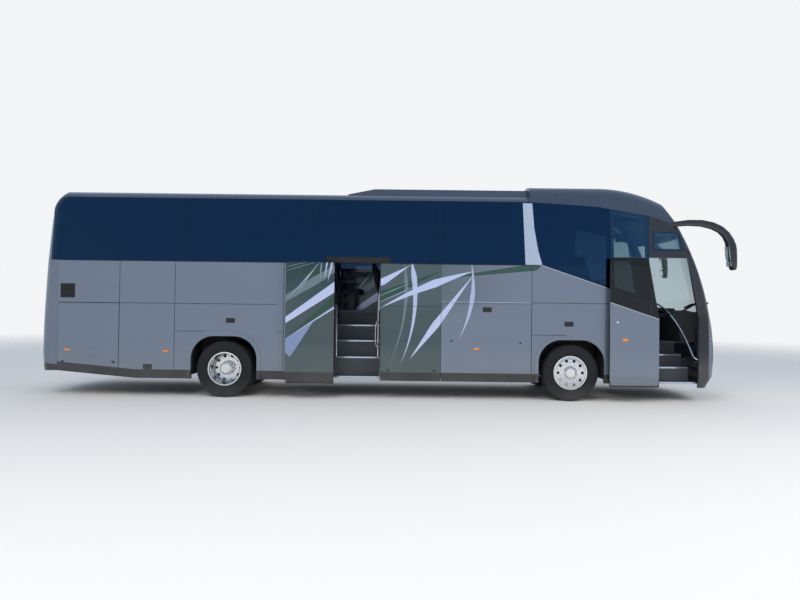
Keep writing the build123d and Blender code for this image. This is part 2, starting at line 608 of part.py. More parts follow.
# Floors: the passenger deck with its stairwell, the driver's platform and the bulkheads
STAIR_X = (MIDDLE_DOOR_X[0] + 8, MIDDLE_DOOR_X[1] - 8)
STAIR_TOP_Y = -STAIR_EDGE_Y + len(MIDDLE_TREADS_Z) * TREAD_DEPTH
FRONT_STAIR_X = (FRONT_DOOR_X[0] + 8, FRONT_DOOR_X[1] - 8)
FRONT_STAIR_TOP_Y = -STAIR_EDGE_Y + len(FRONT_TREADS_Z) * TREAD_DEPTH
FLOOR_FRONT_X = CAB_X + 300
AISLE_HALF = 260.0
with BuildPart() as passenger_floor:
    add(block(FLOOR_REAR_X, FLOOR_FRONT_X, -CABIN_HALF, CABIN_HALF,
              FLOOR_Z - FLOOR_THICKNESS, FLOOR_Z))
    add(block(*STAIR_X, -CABIN_HALF - 1, STAIR_TOP_Y, 0, 2000), mode=Mode.SUBTRACT)
    add(block(FLOOR_FRONT_X - 40, FLOOR_FRONT_X, -CABIN_HALF, CABIN_HALF,
              PLATFORM_Z - FLOOR_THICKNESS, FLOOR_Z))
    # Three steps lead down the aisle to the driver's platform.
    step = (FLOOR_Z - PLATFORM_Z) / 3
    for count in (1, 2):
        add(block(FLOOR_FRONT_X, FLOOR_FRONT_X + 260 * (3 - count), -AISLE_HALF, AISLE_HALF,
                  PLATFORM_Z, PLATFORM_Z + step * count))
    add(block(FLOOR_FRONT_X, 5960, FRONT_STAIR_TOP_Y, CABIN_HALF - 60,
              PLATFORM_Z - FLOOR_THICKNESS, PLATFORM_Z))
    add(block(FLOOR_FRONT_X, FRONT_STAIR_X[0] - 6, -CABIN_HALF, FRONT_STAIR_TOP_Y,
              PLATFORM_Z - FLOOR_THICKNESS, PLATFORM_Z))
    # Lower walls close the compartments ahead of and behind the stairs and axles.
    for x0 in (-1800.0, 4118.0):
        add(block(x0, x0 + 20, -CABIN_HALF, CABIN_HALF, HOLD_FLOOR_Z + 320,
                  (FLOOR_Z if x0 < 0 else PLATFORM_Z) - FLOOR_THICKNESS))
    add(LINING, mode=Mode.INTERSECT)
export(passenger_floor.part, "passenger_floor")

# Entrance stairs, each a folded plate with side walls and a handrail
with BuildPart() as entrance_stairs:
    for (x0, x1), treads, top in ((STAIR_X, MIDDLE_TREADS_Z, FLOOR_Z),
                                  (FRONT_STAIR_X, FRONT_TREADS_Z, PLATFORM_Z)):
        upper = []
        y = -STAIR_EDGE_Y
        for z in treads:
            upper += [(y, z), (y + TREAD_DEPTH, z)]
            y += TREAD_DEPTH
        upper.append((y, top - FLOOR_THICKNESS - SEAT))
        lower = [(y + TREAD_THICKNESS, top - FLOOR_THICKNESS - SEAT)]
        for z in reversed(treads):
            lower += [(y + TREAD_THICKNESS, z - TREAD_THICKNESS),
                      (y + TREAD_THICKNESS - TREAD_DEPTH, z - TREAD_THICKNESS)]
            y -= TREAD_DEPTH
        lower[-1] = (-STAIR_EDGE_Y, treads[0] - TREAD_THICKNESS)
        add(end_region(upper + lower, x0, x1))
export(entrance_stairs.part, "entrance_stairs")

# Side panels: outlines in X and Z, with the wheel arches and doorways left open
FLAP_TOPS_Z = (1710.0, 1775.0)
DOORWAY_REAR_X = MIDDLE_DOOR_X[0] - DOOR_GAP
DOORWAY_FRONT_X = MIDDLE_DOOR_X[1] + DOOR_GAP
CAB_DOORWAY_X = FRONT_DOOR_X[0] - DOOR_GAP
rear_panels = (
    flap_polygon(ENGINE_FLAP_X, RADIATOR_X, WAIST_SEAM_Z, 0),
    box_points(RADIATOR_X, DOOR_ZONE_X, WHEEL_SEAM_Z, WAIST_SEAM_Z),
    box_points(REAR_SEAM_X, RADIATOR_X, WAIST_SEAM_Z, BELT_Z),
    box_points(RADIATOR_X, DOOR_ZONE_X, WAIST_SEAM_Z, BELT_Z),
)
rear_arch_panel = flap_polygon(RADIATOR_X, DOOR_ZONE_X, WHEEL_SEAM_Z, 0)
front_arch_panel = box_points(HOLD_FRONT_X, CAB_X, SKIRT_Z, WHEEL_SEAM_Z)
front_panels = (
    box_points(HOLD_FRONT_X, CAB_X, WHEEL_SEAM_Z, WAIST_SEAM_Z),
    ((HOLD_FRONT_X, WAIST_SEAM_Z), (CAB_X, WAIST_SEAM_Z), (CAB_X, belt_z(CAB_X)),
     (BELT_DROP_X, BELT_Z), (HOLD_FRONT_X, BELT_Z)),
)
waist = ((HOLD_REAR_X, FLAP_TOPS_Z[0]), (HOLD_MIDDLE_X, FLAP_TOPS_Z[0]),
         (HOLD_MIDDLE_X, FLAP_TOPS_Z[1]), (HOLD_FRONT_X, FLAP_TOPS_Z[1]),
         (HOLD_FRONT_X, BELT_Z))
side_panels = {
    "right": (
        box_points(DOOR_ZONE_X, DOORWAY_REAR_X, SKIRT_Z, BELT_Z),
        ((DOORWAY_FRONT_X, SKIRT_Z), (HOLD_REAR_X, SKIRT_Z), *waist, (DOORWAY_FRONT_X, BELT_Z)),
        ((CAB_X, SKIRT_Z), (CAB_DOORWAY_X, SKIRT_Z), (CAB_DOORWAY_X, belt_z(CAB_DOORWAY_X)),
         (CAB_X, belt_z(CAB_X))),
    ),
    "left": (
        box_points(DOOR_ZONE_X, HOLD_REAR_X, SKIRT_Z, BELT_Z),
        (*waist, (HOLD_REAR_X, BELT_Z)),
        ((CAB_X, SKIRT_Z), (CORNER_X, SKIRT_Z), (CORNER_X, belt_z(CORNER_X)),
         (CAB_X, belt_z(CAB_X))),
    ),
}
POST_Y = -(HALF_WIDTH - WALL - DOOR_PIVOT_DEPTH - ARM_DEPTH)
MIDDLE_POST_X = MIDDLE_DOOR_X[0] + POST_INSET
FRONT_POST_X = FRONT_DOOR_X[0] + POST_INSET


def arch_region(axle_x, side, margin, y0, y1):
    """A prism through the side with the wheel arch's outline, widened by a margin."""
    outer_plane = Plane(origin=(axle_x, side * y0, 0), x_dir=(1, 0, 0), z_dir=(0, side, 0))
    with BuildPart() as arch:
        with BuildSketch(outer_plane):
            RectangleRounded(2 * (ARCH_HALF_WIDTH + margin), 2 * (ARCH_TOP_Z + margin),
                             ARCH_CORNER_R + margin)
        extrude(amount=y1 - y0)
    return arch.part


def arched_panel(outline, sign, axle_x):
    """A side panel with the wheel arch cut out and its lip standing out."""
    with BuildPart() as panel:
        add(skin(OUTER, INNER, side_region(outline, sign, PANEL_SEAM / 2)))
        add(arch_region(axle_x, sign, ARCH_LIP_WIDTH, HALF_WIDTH - 20,
                        HALF_WIDTH + ARCH_LIP_OUT))
        add(block(axle_x - 700, axle_x + 700, -OUT, OUT, -1300, SKIRT_Z), mode=Mode.SUBTRACT)
        add(arch_region(axle_x, sign, 0, HALF_WIDTH - WALL - 30, OUT), mode=Mode.SUBTRACT)
    return panel.part


for sign, side in SIDES:
    own = list(side_panels[side])
    panels = []
    panels.append(arched_panel(rear_arch_panel, sign, REAR_AXLE_X))
    panels.append(arched_panel(front_arch_panel, sign, FRONT_AXLE_X))
    for outline in (*rear_panels, *own, *front_panels):
        panels.append(skin(OUTER, INNER, side_region(outline, sign, PANEL_SEAM / 2)))
    export(Compound(children=panels), f"side_wall_{side}")

# Brackets on the inside of the right wall hold the tops of the doors' posts
with BuildPart() as post_brackets:
    for edge_x, post_x in ((DOORWAY_REAR_X, MIDDLE_POST_X), (CAB_DOORWAY_X, FRONT_POST_X)):
        for x1, y0 in ((edge_x - BRACKET_EDGE, -HALF_WIDTH + WALL + SEAT),
                       (post_x + BRACKET_REACH, -HALF_WIDTH + WALL + DOOR_CLEARANCE)):
            add(block(edge_x - BRACKET_LENGTH, x1, y0, POST_Y + BRACKET_REACH, POST_TOP_Z + SEAT,
                      POST_TOP_Z + BRACKET_REACH))
export(post_brackets.part, "post_brackets")

# Flaps, hinged along their top edge just inside the outer face
HINGE_R = 10.0
HINGE_DEPTH = 8.0
FLAPS = (
    ("flap_engine", REAR_SEAM_X, ENGINE_FLAP_X, WAIST_SEAM_Z),
    ("flap_hold_rear", HOLD_REAR_X, HOLD_MIDDLE_X, FLAP_TOPS_Z[0]),
    ("flap_hold_front", HOLD_MIDDLE_X, HOLD_FRONT_X, FLAP_TOPS_Z[1]),
)
HINGE_Y = HALF_WIDTH - HINGE_DEPTH
for stem, x0, x1, top in FLAPS:
    hinge_z = top + PANEL_SEAM / 2 - SEAT - HINGE_R
    gap = FLAP_GAP / 2
    for sign, side in SIDES:
        with BuildPart() as flap:
            outline = flap_polygon(x0, x1, hinge_z - HINGE_DEPTH, gap)
            add(skin(OUTER, UNDER_FLAP, side_region(outline, sign)))
            barrel = Plane(origin=(x0 + gap, sign * HINGE_Y, hinge_z), x_dir=(0, 1, 0),
                           z_dir=(1, 0, 0))
            with BuildSketch(barrel):
                Circle(HINGE_R)
            extrude(amount=x1 - x0 - 2 * gap)
        export(flap.part, f"{stem}_{side}")

# Glazing: panes along each side, in X and Z
CORNER_FOOT_Z = 1550.0
CORNER_HEAD = (5531.0, FRONT_DOOR_TOP_Z)
PANE_FRONT_X = 2626.0


def corner_x(z):
    """The slanted line behind the front corner, along the windscreen's rake."""
    rise = max(0.0, z - CORNER_FOOT_Z) / (CORNER_HEAD[1] - CORNER_FOOT_Z)
    return FRONT_DOOR_X[1] + DOOR_GAP - rise * (FRONT_DOOR_X[1] - CORNER_HEAD[0])


HEAD_SEAM_Z = 3170.0
head_end = (corner_x(HEAD_SEAM_Z), HEAD_SEAM_Z)
head_rear = (CAB_DOORWAY_X, roof_seam_z(CAB_DOORWAY_X))
seam_ahead = tuple(point for point in ROOF_SEAM if head_rear[0] < point[0] < head_end[0])
pane_edges = (PANE_REAR_X, *PANE_SEAMS_X, PANE_FRONT_X)
side_panes = [box_points(x0, x1, BELT_Z, SEAM_Z) for x0, x1 in zip(pane_edges, pane_edges[1:])]
seam_behind = tuple(point for point in ROOF_SEAM if PANE_FRONT_X < point[0] < head_rear[0])
cab_pane = ((PANE_FRONT_X, BELT_Z), (BELT_DROP_X, BELT_Z), (CAB_X, belt_z(CAB_X)),
            (CAB_X, roof_seam_z(CAB_X)), *reversed([p for p in seam_behind if p[0] < CAB_X]),
            (PANE_FRONT_X, SEAM_Z))
door_pane = ((CAB_X, belt_z(CAB_X)), (CAB_DOORWAY_X, belt_z(CAB_DOORWAY_X)), head_rear,
             (CAB_X, roof_seam_z(CAB_X)))
driver_pane = ((CAB_X, belt_z(CAB_X)), (CORNER_X, belt_z(CORNER_X)),
               (corner_x(CORNER_FOOT_Z), CORNER_FOOT_Z), head_end, *reversed(seam_ahead),
               head_rear, (CAB_X, roof_seam_z(CAB_X)))
door_header = ((CAB_DOORWAY_X, FRONT_DOOR_TOP_Z + DOOR_GAP),
               (corner_x(FRONT_DOOR_TOP_Z + DOOR_GAP), FRONT_DOOR_TOP_Z + DOOR_GAP),
               head_end, *reversed(seam_ahead), head_rear)
quarter_pane = ((4907.0, 2770.0), (5456.0, 2770.0), (5400.0, 3060.0), (5300.0, 3120.0),
                (4907.0, 3120.0))
panes = {"right": (*side_panes, cab_pane, door_pane), "left": (*side_panes, cab_pane, driver_pane)}


def window_opening(points, sign):
    """The see-through part of a pane, inside its frame."""
    return side_region(points, sign, PILLAR_HALF + 20)


frames = []
glass_panes = []
for sign, side in SIDES:
    for pane in panes[side]:
        with BuildPart() as frame:
            add(skin(UNDER_GLASS, INNER, side_region(pane, sign, PANEL_SEAM / 2)))
            add(window_opening(pane, sign), mode=Mode.SUBTRACT)
        frames.append(frame.part)
        glass_panes.append(skin(OUTER, GLASS_BACK, side_region(pane, sign, PANE_GAP / 2)))
with BuildPart() as header:
    add(skin(OUTER, INNER, side_region(door_header, -1, PANEL_SEAM / 2)))
    add(skin(TRIM_OUT, UNDER_GLASS, side_region(quarter_pane, -1)), mode=Mode.SUBTRACT)
    add(side_region(quarter_pane, -1, 35), mode=Mode.SUBTRACT)
frames.append(header.part)
glass_panes.append(skin(OUTER, GLASS_BACK, side_region(quarter_pane, -1, PANE_GAP / 2)))
export(Compound(children=frames), "window_frames")
export(Compound(children=glass_panes), "side_glass")

# Silver blades stand on the glass behind the cab
BLADE = ((2530.0, 3618.0), (2702.0, 3618.0), (2738.0, 3150.0), (2805.0, 2750.0),
         (2880.0, 2484.0), (2575.0, 2484.0))
blades = [skin(TRIM_OUT, OVER_GLASS, side_region(BLADE, sign)) for sign, side in SIDES]
export(Compound(children=blades), "side_blades")

# Roof shell with the raised front cap, and the air conditioning unit on it
POD_REAR_X = -703.0
POD_FULL_X = -28.0
POD_RIDGE_Y = 860.0
POD_FOOT_Y = 1010.0
POD_FOOT_Z = 3742.0
POD_TOP_Z = 3915.0
with BuildPart() as roof_shell:
    seam_line = ((REAR_X - 60, SEAM_Z), *((x, z) for x, z in ROOF_SEAM if x < head_end[0]),
                 head_end, (FRONT_X, HEAD_SEAM_Z), (FRONT_X, 4100), (REAR_X - 60, 4100))
    add(skin(OUTER, INNER, cross_region(seam_line)))
export(roof_shell.part, "roof_shell")

with BuildPart() as roof_unit:
    with BuildSketch(Plane.YZ.offset(POD_REAR_X)):
        with BuildLine():
            Polyline((POD_RIDGE_Y, POD_TOP_Z), (POD_FOOT_Y, POD_FOOT_Z), (POD_FOOT_Y, 3600),
                     (-POD_FOOT_Y, 3600), (-POD_FOOT_Y, POD_FOOT_Z), (-POD_RIDGE_Y, POD_TOP_Z))
            ThreePointArc((-POD_RIDGE_Y, POD_TOP_Z), (0, CAP_CROWN[0][1]), (POD_RIDGE_Y, POD_TOP_Z))
        make_face()
    extrude(amount=CAP_START_X - SEAT - POD_REAR_X)
    # The unit rises from the roof along a slope.
    with BuildSketch(Plane.XZ.offset(-OUT)):
        with BuildLine():
            Polyline((POD_REAR_X - 50, ROOF_CROWN_Z + 5), (POD_REAR_X, ROOF_CROWN_Z + 5),
                     (POD_FULL_X, CAP_CROWN[0][1]), (POD_FULL_X, 4200), (POD_REAR_X - 50, 4200),
                     close=True)
        make_face()
    extrude(amount=2 * OUT, mode=Mode.SUBTRACT)
    add(OVER_GLASS, mode=Mode.SUBTRACT)
export(roof_unit.part, "roof_unit")

with BuildPart() as roof_hatches:
    for x in (-4840.0, -1635.0):
        add(block(x - 440, x + 440, -360, 360, 3700, 3838))
    fillet(roof_hatches.edges().filter_by(Axis.Z), 60)
    add(OVER_GLASS, mode=Mode.SUBTRACT)
export(roof_hatches.part, "roof_hatches")

# Front mask, windscreen and lamps
HEADLAMP = ((1236.0, 1380.0), (1130.0, 1340.0), (860.0, 960.0), (830.0, 760.0),
            (1150.0, 680.0), (1244.0, 760.0))
SCREEN_HALF = (1130.0, 1085.0)
SCREEN_TOP_Z = 3125.0
SCREEN_LIP = 45.0
screen = ((-SCREEN_HALF[0], WINDSCREEN_Z + 10), (SCREEN_HALF[0], WINDSCREEN_Z + 10),
          (SCREEN_HALF[1], SCREEN_TOP_Z), (-SCREEN_HALF[1], SCREEN_TOP_Z))
INTAKE = ((-620.0, 430.0), (620.0, 430.0), (580.0, 540.0), (-580.0, 540.0))
mask_outline = ((CORNER_X, 200), (FRONT_X + 60, 200), (FRONT_X + 60, WINDSCREEN_Z),
                (corner_x(WINDSCREEN_Z), WINDSCREEN_Z), (CORNER_X, CORNER_FOOT_Z))
with BuildPart() as front_mask:
    add(skin(OUTER, INNER, cross_region(mask_outline)))
    for sign, side in SIDES:
        lamp = tuple((sign * y, z) for y, z in HEADLAMP)
        add(end_region(lamp, CORNER_X + 40, FRONT_X + 60), mode=Mode.SUBTRACT)
    add(end_region(INTAKE, CORNER_X + 100, FRONT_X + 60), mode=Mode.SUBTRACT)
export(front_mask.part, "front_mask")

lenses = []
for sign, side in SIDES:
    lamp = tuple((sign * y, z) for y, z in HEADLAMP)
    lenses.append(skin(OUTER, INNER, end_region(lamp, CORNER_X + 40, FRONT_X + 60, SEAT)))
export(Compound(children=lenses), "headlamps")

frame_outline = ((corner_x(WINDSCREEN_Z), WINDSCREEN_Z + PANEL_SEAM),
                 (FRONT_X + 60, WINDSCREEN_Z + PANEL_SEAM), (FRONT_X + 60, HEAD_SEAM_Z - PANEL_SEAM),
                 (head_end[0] + PANEL_SEAM, HEAD_SEAM_Z - PANEL_SEAM))
with BuildPart() as windscreen_frame:
    add(skin(OUTER, INNER, cross_region(frame_outline)))
    front_half = end_region(screen, 4800, FRONT_X + 60)
    add(skin(TRIM_OUT, UNDER_GLASS, front_half), mode=Mode.SUBTRACT)
    add(end_region(screen, 4800, FRONT_X + 60, SCREEN_LIP), mode=Mode.SUBTRACT)
export(windscreen_frame.part, "windscreen_frame")

with BuildPart() as windscreen:
    add(skin(OUTER, GLASS_BACK, end_region(screen, 4800, FRONT_X + 60, PANE_GAP / 2)))
export(windscreen.part, "windscreen")

# Wipers: an arm and a blade lie against the glass, from the pivot's place and the blade's middle
WIPER_PIVOTS_Y = (520.0, -160.0)
WIPER_PIVOT_Z = 1640.0
WIPER_SWEEP = (-640.0, 165.0)
BLADE_HALF = (340.0, 70.0)
WIPER_WIDTH = 24.0
wiper_parts = []
for y in WIPER_PIVOTS_Y:
    mid_y, mid_z = y + WIPER_SWEEP[0], WIPER_PIVOT_Z + WIPER_SWEEP[1]
    outline = ((y, WIPER_PIVOT_Z), (mid_y, mid_z), (mid_y + BLADE_HALF[0], mid_z - BLADE_HALF[1]),
               (mid_y + BLADE_HALF[0], mid_z - BLADE_HALF[1] + WIPER_WIDTH),
               (mid_y, mid_z + WIPER_WIDTH), (mid_y - BLADE_HALF[0], mid_z + BLADE_HALF[1] / 2),
               (mid_y - BLADE_HALF[0], mid_z + BLADE_HALF[1] / 2 - WIPER_WIDTH),
               (mid_y - 20, mid_z - WIPER_WIDTH), (y, WIPER_PIVOT_Z - WIPER_WIDTH))
    wiper_parts.append(skin(WIPER_OUT, OVER_GLASS, end_region(outline, 5400, FRONT_X + 60)))
export(Compound(children=wiper_parts), "wipers")

# Rear: mask with the window and the lamps, and the engine hood hinged at its top
HOOD_HALF = 860.0
HOOD_Z = (640.0, 1880.0)
HOOD_HINGE_HALF = 400.0
HOOD_HINGE_X = REAR_X + 52.0
REAR_WINDOW = ((-1040.0, 2480.0), (1040.0, 2480.0), (985.0, 3420.0), (-985.0, 3420.0))
TAIL_LAMP = ((985.0, 960.0), (1175.0, 1000.0), (1175.0, 1720.0), (1020.0, 1760.0))
HOOD_TOP_GAP = 26.0
hood_outline = ((-HOOD_HALF, HOOD_Z[0]), (HOOD_HALF, HOOD_Z[0]), (HOOD_HALF, HOOD_Z[1]),
                (-HOOD_HALF, HOOD_Z[1]))
rear_outline = ((REAR_X - 60, 440), (REAR_X + 330, REAR_SKIRT_Z), (REAR_SEAM_X, REAR_SKIRT_Z),
                (REAR_SEAM_X, BELT_Z), (PANE_REAR_X, BELT_Z), (PANE_REAR_X, SEAM_Z),
                (REAR_X - 60, SEAM_Z))
with BuildPart() as rear_mask:
    add(skin(OUTER, INNER, cross_region(rear_outline)))
    add(end_region(hood_outline, REAR_X - 60, REAR_X + 250, -FLAP_GAP / 2), mode=Mode.SUBTRACT)
    add(end_region(((-HOOD_HALF, HOOD_Z[1]), (HOOD_HALF, HOOD_Z[1]),
                    (HOOD_HALF, HOOD_Z[1] + HOOD_TOP_GAP), (-HOOD_HALF, HOOD_Z[1] + HOOD_TOP_GAP)),
                   REAR_X - 60, REAR_X + 250), mode=Mode.SUBTRACT)
    window = end_region(REAR_WINDOW, REAR_X - 60, REAR_X + 350)
    add(skin(TRIM_OUT, UNDER_GLASS, window), mode=Mode.SUBTRACT)
    add(end_region(REAR_WINDOW, REAR_X - 60, REAR_X + 350, SCREEN_LIP), mode=Mode.SUBTRACT)
    for sign, side in SIDES:
        lamp = tuple((sign * y, z) for y, z in TAIL_LAMP)
        add(end_region(lamp, REAR_X - 60, REAR_X + 300), mode=Mode.SUBTRACT)
export(rear_mask.part, "rear_mask")

lenses = []
for sign, side in SIDES:
    lamp = tuple((sign * y, z) for y, z in TAIL_LAMP)
    lenses.append(skin(OUTER, INNER, end_region(lamp, REAR_X - 60, REAR_X + 300, SEAT)))
export(Compound(children=lenses), "tail_lamps")

with BuildPart() as rear_window:
    add(skin(OUTER, GLASS_BACK, end_region(REAR_WINDOW, REAR_X - 60, REAR_X + 350, PANE_GAP / 2)))
export(rear_window.part, "rear_window")

with BuildPart() as engine_hood:
    add(skin(OUTER, UNDER_FLAP, end_region(hood_outline, REAR_X - 60, REAR_X + 250, FLAP_GAP / 2)))
    hood_barrel = Plane(origin=(HOOD_HINGE_X, -HOOD_HINGE_HALF, HOOD_Z[1]),
                        x_dir=(1, 0, 0), z_dir=(0, 1, 0))
    with BuildSketch(hood_barrel):
        Circle(HINGE_R)
    extrude(amount=2 * HOOD_HINGE_HALF)
    # Louvres let the engine breathe.
    for count in range(9):
        z = 800 + 75 * count
        add(end_region(((-620, z), (620, z), (620, z + 30), (-620, z + 30)),
                       REAR_X - 60, REAR_X + 200), mode=Mode.SUBTRACT)
export(engine_hood.part, "engine_hood")


# Outswing doors, standing open beside the body, and the arms that carry them
def door_bracket(travel, post_x):
    """Where the arm's end meets the open door."""
    ahead, behind = door_linkage(travel)
    return post_x - behind, POST_Y - ARM_DEPTH - DOOR_OFFSET


def corner_line(z):
    """The front door's slanted front edge."""
    return corner_x(z) - DOOR_GAP


door_belt_front = (FRONT_DOOR_X[1], belt_z(FRONT_DOOR_X[1]))
front_lower = ((FRONT_DOOR_X[0], DOOR_BOTTOM_Z), (FRONT_DOOR_X[1], DOOR_BOTTOM_Z),
               door_belt_front, (FRONT_DOOR_X[0], belt_z(FRONT_DOOR_X[0])))
front_upper = ((FRONT_DOOR_X[0], belt_z(FRONT_DOOR_X[0])), door_belt_front,
               (FRONT_DOOR_X[1], CORNER_FOOT_Z), (corner_line(FRONT_DOOR_TOP_Z), FRONT_DOOR_TOP_Z),
               (FRONT_DOOR_X[0], FRONT_DOOR_TOP_Z))
middle_outline = box_points(*MIDDLE_DOOR_X, DOOR_BOTTOM_Z, BELT_Z - 1)
for name, x0, travel, post_x, tread, lower, upper in (
        ("front_door", FRONT_DOOR_X[0], FRONT_DOOR_TRAVEL, FRONT_POST_X, FRONT_TREADS_Z[0],
         front_lower, front_upper),
        ("middle_door", MIDDLE_DOOR_X[0], MIDDLE_DOOR_TRAVEL, MIDDLE_POST_X, MIDDLE_TREADS_Z[0],
         middle_outline, None)):
    pivot_x, pivot_y = door_bracket(travel, post_x)
    with BuildPart() as closed_panel:
        add(skin(OUTER, INNER, side_region(lower, -1)))
        if upper:
            add(skin(UNDER_GLASS, INNER, side_region(upper, -1)))
            add(side_region(upper, -1, DOOR_WINDOW_MARGIN), mode=Mode.SUBTRACT)
        add(block(x0 - 1, x0 + LAYER_STEP, -HALF_WIDTH + LAYER, -1100, 0, 3000),
            mode=Mode.SUBTRACT)
    with BuildPart() as door:
        with Locations((-travel, -DOOR_OFFSET, 0)):
            add(closed_panel.part)
        for level in ARM_LEVELS_Z:
            for lift in (ARM_HEIGHT / 2 + SEAT + 5, -ARM_HEIGHT / 2 - SEAT - 5):
                add(block(pivot_x - 30, pivot_x + 30, pivot_y - DOOR_PIVOT_DEPTH - 6, pivot_y + 24,
                          level + lift - 5, level + lift + 5))
        with Locations((pivot_x, pivot_y, (ARM_LEVELS_Z[0] + ARM_LEVELS_Z[1]) / 2)):
            Cylinder(PIVOT_R + SEAT, 900, mode=Mode.SUBTRACT)
    export(door.part, name)
    with BuildPart() as arm:
        with Locations((post_x, POST_Y, (POST_TOP_Z + tread + SEAT) / 2)):
            Cylinder(POST_R, POST_TOP_Z - tread - SEAT)
        for level in ARM_LEVELS_Z:
            with BuildSketch(Plane.XY.offset(level - ARM_HEIGHT / 2)):
                with BuildLine():
                    FilletPolyline((post_x, POST_Y), (post_x, pivot_y), (pivot_x, pivot_y),
                                   radius=ARM_BEND_R)
                    offset(amount=ARM_HALF_WIDTH)
                make_face()
                with Locations((pivot_x, pivot_y)):
                    Circle(PIVOT_R + 9)
            extrude(amount=ARM_HEIGHT)
            with Locations((pivot_x, pivot_y, level)):
                Cylinder(PIVOT_R, ARM_HEIGHT + 2 * SEAT + 20)
    export(arm.part, f"{name}_arm")

with BuildPart() as front_door_glass:
    with BuildPart(mode=Mode.PRIVATE) as closed_glass:
        add(skin(OUTER, GLASS_BACK, side_region(front_upper, -1, PANE_GAP / 2)))
    with Locations((-FRONT_DOOR_TRAVEL, -DOOR_OFFSET, 0)):
        add(closed_glass.part)
export(front_door_glass.part, "front_door_glass")

# Mirrors hang ahead of the front corners on swept arms
MIRROR_TIP_X = -REAR_X
MIRROR_Y = (1290.0, 1490.0)
MIRROR_Z = (2408.0, 2900.0)
with BuildPart() as mirrors:
    for sign, side in SIDES:
        middle_y = sign * (MIRROR_Y[0] + MIRROR_Y[1]) / 2
        with BuildLine() as path:
            ThreePointArc((5080, sign * 1150, 3225), (5500, sign * 1290, 3290),
                          (5900, middle_y * 0.985, 3225))
            ThreePointArc((5900, middle_y * 0.985, 3225), (6190, middle_y, 3085),
                          (6262, middle_y, 2840))
        with BuildSketch(Plane(origin=path.line @ 0, z_dir=path.line % 0)):
            Circle(34)
        sweep(path=path.line)
        with BuildPart(mode=Mode.PRIVATE) as head:
            with Locations((MIRROR_TIP_X - 78, middle_y, (MIRROR_Z[0] + MIRROR_Z[1]) / 2)):
                Box(156, MIRROR_Y[1] - MIRROR_Y[0], MIRROR_Z[1] - MIRROR_Z[0])
            fillet(head.edges().filter_by(Axis.X, reverse=True), 45)
        add(head.part)
    add(OVER_GLASS, mode=Mode.SUBTRACT)
export(mirrors.part, "mirrors")

# Cabin: dashboard, steering wheel, seats and racks
DASH = ((5760.0, PLATFORM_Z + SEAT), (5700.0, 1400.0), (5580.0, 1560.0), (5620.0, 1650.0),
        (5850.0, 1690.0), (6300.0, 1600.0), (6300.0, PLATFORM_Z + SEAT))
with BuildPart() as dashboard:
    with BuildSketch(Plane.XZ.offset(-CABIN_HALF)):
        with BuildLine():
            Polyline(*DASH, close=True)
        make_face()
    extrude(amount=CABIN_HALF + 540)
    add(LINING, mode=Mode.INTERSECT)
export(dashboard.part, "dashboard")

DRIVER_Y = 640.0
WHEEL_CENTRE = (5440.0, DRIVER_Y, 1830.0)
STEERING_R = 225.0
with BuildPart() as steering_wheel:
    with Locations(Plane(origin=WHEEL_CENTRE, x_dir=(0, 1, 0), z_dir=(-0.5, 0, 0.866))):
        Torus(STEERING_R, 17)
        Cylinder(60, 40)
        with PolarLocations(STEERING_R / 2, 3):
            Box(STEERING_R, 36, 14)
        with Locations((0, 0, -130)):
            Cylinder(32, 260)
    add(dashboard.part, mode=Mode.SUBTRACT)
export(steering_wheel.part, "steering_wheel")

# Seat side view: distance ahead of the seat's base, height over the floor
SEAT_SIDE = ((-90.0, 0.0), (150.0, 0.0), (185.0, 380.0), (240.0, 400.0), (245.0, 460.0),
             (-130.0, 440.0), (-290.0, 1090.0), (-370.0, 1090.0), (-220.0, 380.0), (-90.0, 350.0))
with BuildPart() as passenger_seats:
    for sign, side in SIDES:
        row_x = -5500.0
        while row_x < CAB_X - 100:
            over_stairs = side == "right" and STAIR_X[0] - 300 < row_x < STAIR_X[1] + 420
            if not over_stairs:
                outer_y = HALF_WIDTH - WALL - SEAT_WALL_GAP - side_tuck(2700)
                start = outer_y if sign > 0 else -(outer_y - SEAT_PAIR_WIDTH)
                with BuildSketch(Plane.XZ.offset(-start)):
                    with BuildLine():
                        Polyline(*((row_x + x, FLOOR_Z + SEAT + z) for x, z in SEAT_SIDE),
                                 close=True)
                    make_face()
                extrude(amount=SEAT_PAIR_WIDTH)
            row_x += SEAT_PITCH
export(passenger_seats.part, "passenger_seats")

with BuildPart() as driver_seat:
    with BuildSketch(Plane.XZ.offset(-DRIVER_Y - 250)):
        with BuildLine():
            Polyline(*((4930 + x, PLATFORM_Z + SEAT + z) for x, z in SEAT_SIDE), close=True)
        make_face()
    extrude(amount=500)
export(driver_seat.part, "driver_seat")

RACK = ((1300.0, RACK_Z), (1300.0, RACK_Z + 250), (1150.0, RACK_Z + 250), (1140.0, RACK_Z + 40),
        (830.0, RACK_Z + 70), (810.0, RACK_Z + 150), (785.0, RACK_Z + 150), (800.0, RACK_Z + 30))
with BuildPart() as luggage_racks:
    for sign, side in SIDES:
        add(end_region(tuple((sign * y, z) for y, z in RACK), -5950, CAB_X - 30))
    add(LINING, mode=Mode.INTERSECT)
export(luggage_racks.part, "luggage_racks")
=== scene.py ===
"""The looks of a twelve metre touring coach that stands with both its doors open."""

import logging
import math
from dataclasses import dataclass
from enum import Enum

import bmesh
import bpy
from mathutils import Matrix, Vector

